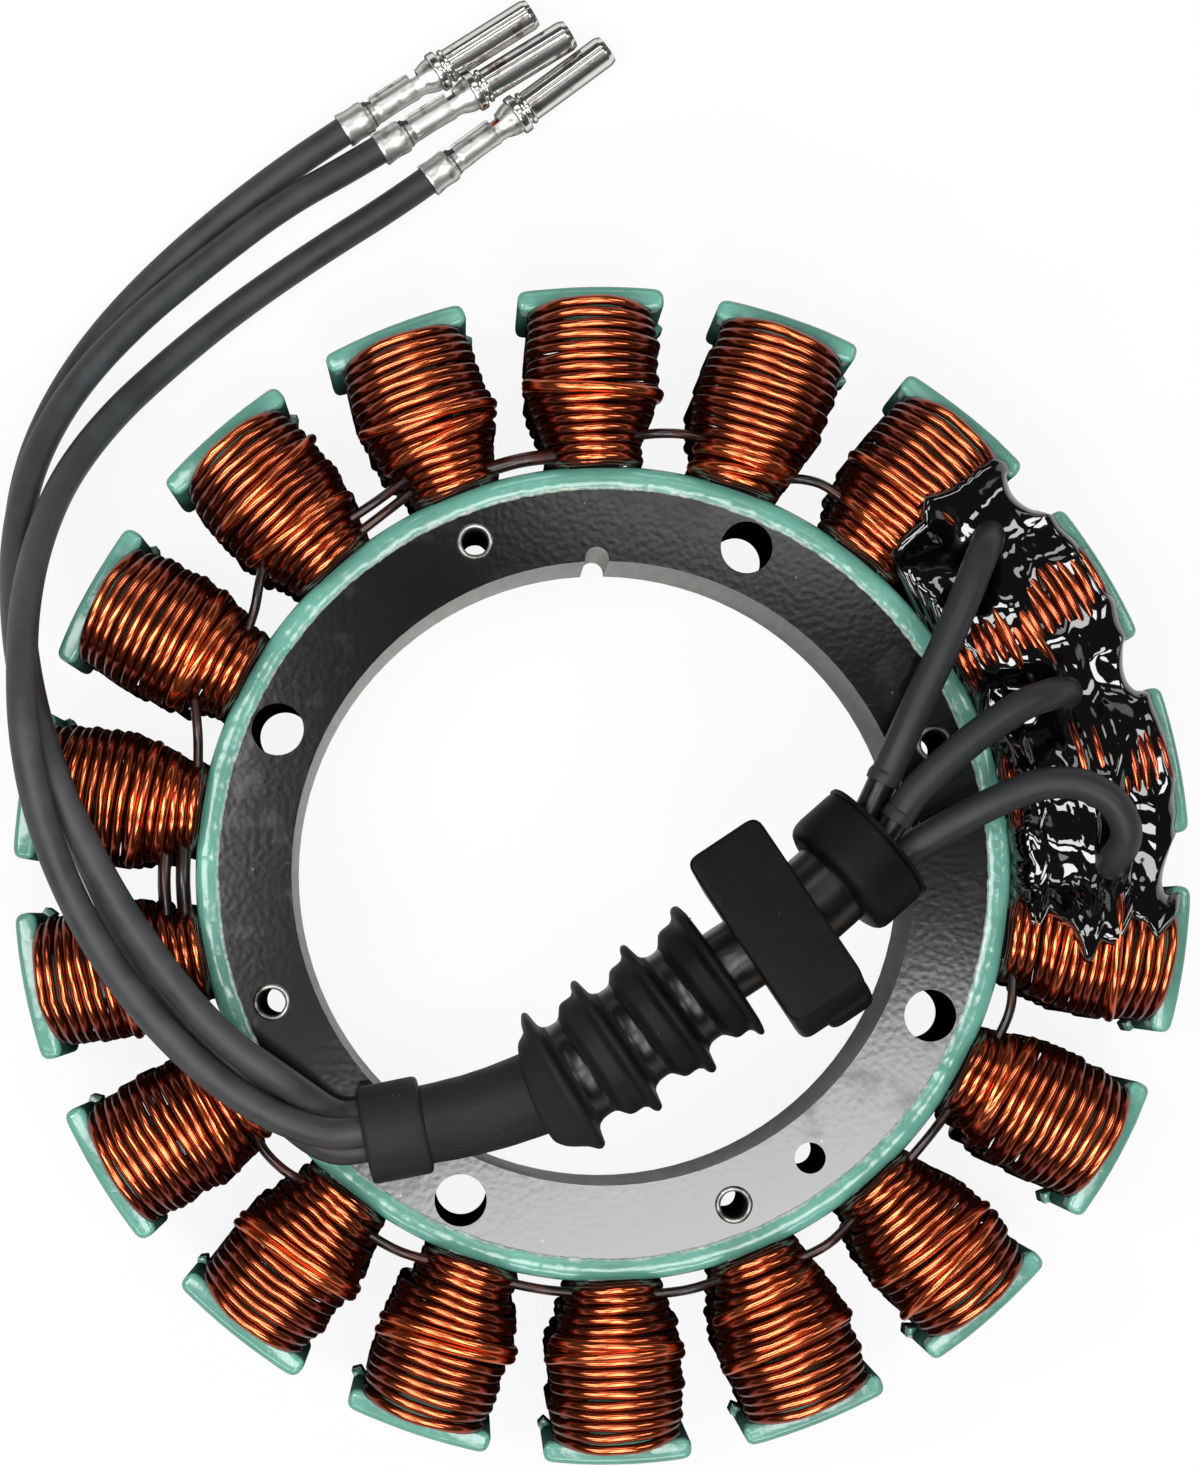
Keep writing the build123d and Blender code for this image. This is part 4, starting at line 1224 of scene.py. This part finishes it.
def build_long_lead(number, with_pieces):
    """One long lead as a smooth curve, from the second collar into its terminal."""
    points = LEAD_STARTS[number] + LEAD_ROUTES[number] + LEAD_ENDS[number]
    curve = bpy.data.curves.new(f"long_lead_{number + 1}", "CURVE")
    curve.dimensions = "3D"
    curve.bevel_depth = LEAD_R * MM
    curve.bevel_resolution = 7
    curve.resolution_u = 16
    curve.use_fill_caps = True
    spline = curve.splines.new("NURBS")
    spline.points.add(len(points) - 1)
    for knot, point in zip(spline.points, points):
        knot.co = (*(Vector(point) * MM), 1.0)
    spline.order_u = 3
    spline.use_endpoint_u = True
    curve.materials.append(finish_of("satin_sleeving"))
    lead = bpy.data.objects.new(curve.name, curve)
    link_piece(lead, f"lead_{number + 1}")


# Terminals: rear edge of each crimp, its heading, the angle of its opening round its axis, and
# whether its core's strands show there
TERMINALS = [((-30.5, 96.4, -2.75), 31.3, 12, False), ((-25.9, 93.8, -2.05), 30.5, 20, False),
             ((-19.8, 89.8, -2.75), 35.4, 22, True)]
# Bent sheets of a contact: (distance, radius) along it, half width of the opening, wall and steps
SHEETS = {
    "grip": ([(0, 2.28), (0.2, 2.34), (0.5, 2.3), (1.4, 2.16), (2.3, 2.2), (3.1, 2.28), (3.5, 2.2),
              (3.65, 2.12)], 9, 0.3, 34),
    "neck": ([(3.2, 1.97), (3.6, 1.97), (4.0, 1.88), (4.6, 1.74), (5.0, 1.66)], 46, 0.3, 30),
    "barrel": ([(4.9, 1.66), (5.05, 1.74), (5.6, 1.72), (7.2, 1.66), (9.2, 1.68), (10.5, 1.74),
                (10.7, 1.68)], 3, 0.5, 40),
    "waist": ([(10.4, 1.6), (11.4, 1.62), (12.2, 1.74)], 52, 0.35, 30),
    "socket": ([(11.9, 1.78), (12.2, 1.88), (12.8, 2.1), (13.3, 2.24), (13.9, 2.26)], 3, 0.35, 40),
}
# The bare strands behind a barrel: their number, step between them, radii of the bundle and of a
# strand, and how far they wander
STRANDS, STRAND_STEP, BUNDLE_R, STRAND_R, WANDER = 6, 28, 0.95, 0.2, 0.12
# The barrel's edge that stands up along its seam: distance and height
SEAM = ((5.05, 0.0), (5.2, 0.12), (7.0, 0.16), (9.0, 0.14), (10.4, 0.12), (10.6, 0.0))
# Section of a hood: (distance, radius), the radius of each corner, and where its fine line starts
HOOD = [(13.9, 1.7), (13.9, 2.7), (15.1, 2.7), (15.15, 2.0), (15.5, 2.0), (15.6, 2.34),
        (16.05, 2.34), (16.15, 2.1), (28.1, 2.1), (28.8, 1.85), (28.8, 1.6), (18.8, 1.6),
        (18.8, 1.7)]
HOOD_CORNERS = [0.1, 0.3, 0.3, 0.1, 0.1, 0.15, 0.15, 0.1, 0.3, 0.1, 0.1, 0.1, 0.1]
HOOD_LINE = 16.12


def build_terminal(number):
    """Crimped contact and drawn hood of one lead; returns the two pieces."""
    origin, angle, window, strands_show = TERMINALS[number]
    origin, ahead, up = Vector(origin), Vector((*radial(1, angle), 0)), Vector((0, 0, 1))
    side = up.cross(ahead)
    shape = Shape()

    def spot(along, r, a):
        return origin + ahead * along + (side * math.cos(a) + up * math.sin(a)) * r

    def sheet(stations, half_open, wall, steps):
        """Bent sheet round the axis, open at the window."""
        start, half = math.radians(window), math.radians(half_open)
        angles = [start + half + (TAU - 2 * half) * i / steps for i in range(steps + 1)]
        return skin([[spot(along, r, a) for a in angles]
                     + [spot(along, r - wall, a) for a in reversed(angles)]
                     for along, r in stations])

    shape.add(sheet(*SHEETS["grip"]))
    shape.add(sheet(*SHEETS["neck"]))
    shape.add(lathe(origin, ahead, [(2.6, 1.8), (4.3, 1.72), (5.2, 1.35)], 20), finish=1)
    shape.add(sheet(*SHEETS["barrel"]))
    seam = [spot(t, 1.62 + rise, math.radians(window)) for t, rise in SEAM]
    shape.add(tube(through(seam, 4), 0.2, 8, up=side))
    shape.add(sheet(*SHEETS["waist"]))
    shape.add(sheet(*SHEETS["socket"]))
    for k in range(STRANDS if strands_show else 0):
        across, high = radial(BUNDLE_R, window + STRAND_STEP * (k - (STRANDS - 1) / 2))
        strand = [origin + ahead * t + side * (across + WANDER * math.sin(2 * t + k))
                  + up * (high + WANDER * math.cos(2 * t + k)) for t in (10.2, 11.0, 11.8, 12.8)]
        shape.add(tube(through(strand, 4), STRAND_R, 8), finish=2)
    contact = shape.link(f"crimp_contact_{number + 1}",
                         ["dull_tin", "satin_sleeving", "bare_strand"], "tinned_brass",
                         f"terminal_contact_{number + 1}", crease=40)

    def groove(along, a):
        """Fine line along the hood where its sheet meets."""
        gap = (a - math.radians(window + 62) + math.pi) % TAU - math.pi
        return -0.1 * math.exp(-(gap / 0.07)**2) if along > HOOD_LINE else 0.0

    hood = Shape().add(lathe(origin, ahead, rounded(HOOD, HOOD_CORNERS, 5, closed=True), 144,
                             hollow=True, wobble=groove))
    return contact, hood.link(f"drawn_hood_{number + 1}", ["bright_tin"], "tinned_brass",
                              f"terminal_hood_{number + 1}", crease=35)


# Stage
CAMERA_AT = (-17.30, -6.52, 590.70)
CAMERA_AIM = (-0.117, 17.109, 25.0)
CAMERA_ROLL = -0.0232
CAMERA_LENS = 113.93
# Half the floor's width, and its distance under the windings
FLOOR_SIZE = 4000
FLOOR_GAP = 0.02
# Soft boxes: place, aim, width, height, radiance
LAMPS = [
    ((44, -112, 600), (30, -60, 20), 176, 136, 10.4),
    ((60, -400, 570), (10, -20, 20), 320, 170, 8.2),
    ((58, 142, 610), (30, 60, 20), 100, 115, 2.3),
    ((-240, 40, 550), (-20, 10, 20), 130, 320, 10.0),
    ((-230, -270, 500), (-20, -30, 20), 170, 150, 7.0),
    ((350, 110, 520), (10, 10, 20), 130, 260, 6.0),
    ((-20, 400, 560), (0, 10, 20), 300, 120, 3.9),
]


def add_camera():
    """Camera at the photograph's place, turned a little about its own axis."""
    at, aim = Vector(CAMERA_AT), Vector(CAMERA_AIM)
    ahead = (aim - at).normalized()
    right = ahead.cross(Vector((0, 1, 0))).normalized()
    top = right.cross(ahead)
    c, s = math.cos(CAMERA_ROLL), math.sin(CAMERA_ROLL)
    right, top = right * c + top * s, top * c - right * s
    data = bpy.data.cameras.new("front_camera")
    data.sensor_fit = "VERTICAL"
    data.sensor_height = 36
    data.lens = CAMERA_LENS
    data.clip_start = 0.02
    data.clip_end = 20
    camera = bpy.data.objects.new("front_camera", data)
    turn = Matrix((right, top, -ahead)).transposed().to_4x4()
    camera.matrix_world = Matrix.Translation(at * MM) @ turn
    bpy.context.scene.collection.objects.link(camera)
    bpy.context.scene.camera = camera


def add_lamp(number, at, aim, width, height, radiance):
    """Soft box that shines with the given radiance."""
    data = bpy.data.lights.new(f"soft_box_{number}", "AREA")
    data.shape = "RECTANGLE"
    data.size, data.size_y = width * MM, height * MM
    data.energy = radiance * math.pi * data.size * data.size_y
    lamp = bpy.data.objects.new(data.name, data)
    lamp.location = Vector(at) * MM
    lamp.rotation_euler = (Vector(aim) - Vector(at)).to_track_quat("-Z", "Y").to_euler()
    bpy.context.scene.collection.objects.link(lamp)


def add_floor():
    """Plain white floor that keeps a faint shadow."""
    corners = [(FLOOR_SIZE * x, FLOOR_SIZE * y, coil_low.z - FLOOR_GAP)
               for x, y in ((-1, -1), (1, -1), (1, 1), (-1, 1))]
    mesh = bpy.data.meshes.new("floor")
    mesh.from_pydata([tuple(Vector(c) * MM) for c in corners], [], [(0, 1, 2, 3)])
    paint = Paint("white_floor")
    bounce = paint.level(paint.add("LightPath")["Is Camera Ray"], 0.3, 0.95)
    paint.set(Base_Color=bounce, Roughness=0.9)
    white = paint.blend(paint.maths("MULTIPLY", paint.seen(), 0.9), paint.shader.outputs[0],
                        paint.add("Emission")[0])
    paint.feed(white, paint.tree.nodes["Material Output"].inputs["Surface"])
    mesh.materials.append(paint.material)
    floor = bpy.data.objects.new("floor", mesh)
    bpy.context.scene.collection.objects.link(floor)


def set_world():
    """White walls all round, up to where a low view looks, and a dim ceiling above them."""
    world = bpy.data.worlds.new("studio")
    bpy.context.scene.world = world
    world.use_nodes = True
    studio = Nodes(world.node_tree)
    dim = world.node_tree.nodes["Background"]
    dim.inputs["Color"].default_value = (1, 1, 1, 1)
    dim.inputs["Strength"].default_value = 0.05
    height = studio.split(studio.add("TexCoord")["Generated"])["Z"]
    walls = studio.spread(height, 0.24, 0.18)
    both = studio.blend(studio.maths("MULTIPLY", walls, studio.seen()), dim.outputs[0],
                        studio.add("Background")[0])
    studio.feed(both, world.node_tree.nodes["World Output"].inputs["Surface"])


# Settings, operators and panel

def colour_property(name, description, default):
    """Setting for a colour."""
    return FloatVectorProperty(name=name, description=description, default=default, size=3,
                               min=0, max=1, subtype="COLOR")


class StatorSizes(PropertyGroup):
    turns: IntProperty(name="Turns", description="Turns of wire seen on each winding", default=16,
                       min=4)
    wire_radius: FloatProperty(name="Wire radius", description="Radius of the winding wire",
                               default=0.62 * MM, min=0.1 * MM, precision=5, subtype="DISTANCE")
    crossings: IntProperty(name="Crossing wires",
                           description="Wires that lie askew on each winding", default=2, min=0)
    resin_cover: FloatProperty(name="Resin cover",
                               description="Thickness of the resin above the wires",
                               default=0.6 * MM, precision=5, subtype="DISTANCE")


class StatorColours(PropertyGroup):
    plate: colour_property("Plate", "Black paint of the plate", (0.0025, 0.0027, 0.003))
    steel: colour_property("Steel", "Machined steel of the bore and the rivets",
                           (0.36, 0.355, 0.345))
    epoxy: colour_property("Epoxy", "Sea-green coating", (0.135, 0.375, 0.295))
    epoxy_worn: colour_property("Worn epoxy", "Thin ragged edge of the coating",
                                (0.50, 0.62, 0.52))
    # The next three colours lay painted light over the windings: copper where they are lit, and
    # deep copper and the varnish colour as painted shade down their sides, partly real varnish.
    copper: colour_property("Copper", "Enamelled copper in the light", (0.90, 0.19, 0.05))
    copper_deep: colour_property("Deep copper", "Copper under thick varnish", (0.30, 0.04, 0.010))
    varnish_and_shade: colour_property("Varnish", "Varnish gathered on the sides", (0.022, 0.005, 0.003))
    resin: colour_property("Resin", "Poured resin", (0.0012, 0.0012, 0.0013))
    rubber: colour_property("Rubber", "Moulded rubber", (0.0065, 0.0067, 0.0073))
    jacket: colour_property("Jacket", "Sleeving of the leads", (0.042, 0.045, 0.048))
    tin: colour_property("Tin", "Tinned brass of the terminals", (0.84, 0.83, 0.80))


class STATOR_OT_core(Operator):
    """Paint the steel core"""
    bl_idname = "stator.core"
    bl_label = "Core"

    def execute(self, context):
        dress("stator_core", "plate_paint")
        return {"FINISHED"}


class STATOR_OT_coating(Operator):
    """Build the green coating on the teeth and the rim"""
    bl_idname = "stator.coating"
    bl_label = "Coating"

    def execute(self, context):
        build_coating()
        return {"FINISHED"}


class STATOR_OT_windings(Operator):
    """Wind every tooth turn by turn"""
    bl_idname = "stator.windings"
    bl_label = "Windings"

    def execute(self, context):
        for number in range(1, TEETH + 1):
            build_winding(number)
        build_wire_ends()
        return {"FINISHED"}


class STATOR_OT_resin(Operator):
    """Pour the resin over the leads' joints"""
    bl_idname = "stator.resin"
    bl_label = "Resin"

    def execute(self, context):
        build_resin()
        return {"FINISHED"}


class STATOR_OT_rivets(Operator):
    """Set the tubular rivets"""
    bl_idname = "stator.rivets"
    bl_label = "Rivets"

    def execute(self, context):
        build_rivets()
        return {"FINISHED"}


class STATOR_OT_moulding(Operator):
    """Mould the rubber round the leads"""
    bl_idname = "stator.moulding"
    bl_label = "Rubber moulding"

    def execute(self, context):
        build_moulding()
        return {"FINISHED"}


class STATOR_OT_leads(Operator):
    """Lay the short and long leads and fit their terminals"""
    bl_idname = "stator.leads"
    bl_label = "Leads and terminals"

    def execute(self, context):
        build_short_leads()
        for number in range(len(TERMINALS)):
            build_long_lead(number, build_terminal(number))
        return {"FINISHED"}


class STATOR_OT_stage(Operator):
    """Set up the floor, the soft boxes and the camera"""
    bl_idname = "stator.stage"
    bl_label = "Stage"

    def execute(self, context):
        add_camera()
        add_floor()
        set_world()
        for number, lamp in enumerate(LAMPS, start=1):
            add_lamp(number, *lamp)
        context.scene.view_settings.view_transform = "Standard"
        return {"FINISHED"}


OPERATORS = (STATOR_OT_stage, STATOR_OT_core, STATOR_OT_coating, STATOR_OT_windings,
             STATOR_OT_resin, STATOR_OT_rivets, STATOR_OT_moulding, STATOR_OT_leads)


class STATOR_PT_panel(Panel):
    """Sizes, colours and pieces of the stator"""
    bl_idname = "STATOR_PT_panel"
    bl_label = "Wound stator"
    bl_space_type = "VIEW_3D"
    bl_region_type = "UI"
    bl_category = "Stator"

    def draw(self, context):
        for settings in (sizes(), colours()):
            column = self.layout.column()
            for name in settings.bl_rna.properties.keys():
                if name not in ("rna_type", "name"):
                    column.prop(settings, name)
        for operator in OPERATORS:
            self.layout.operator(operator.bl_idname)


CLASSES = (StatorSizes, StatorColours) + OPERATORS + (STATOR_PT_panel,)


def register():
    for item in CLASSES:
        bpy.utils.register_class(item)
    bpy.types.Scene.stator_sizes = PointerProperty(type=StatorSizes)
    bpy.types.Scene.stator_colours = PointerProperty(type=StatorColours)


def unregister():
    del bpy.types.Scene.stator_sizes
    del bpy.types.Scene.stator_colours
    for item in reversed(CLASSES):
        bpy.utils.unregister_class(item)


def main():
    register()
    bpy.ops.stator.stage()
    bpy.ops.stator.core()
    bpy.ops.stator.coating()
    bpy.ops.stator.windings()
    bpy.ops.stator.resin()
    bpy.ops.stator.rivets()
    bpy.ops.stator.moulding()
    bpy.ops.stator.leads()


if __name__ == "__main__":
    main()
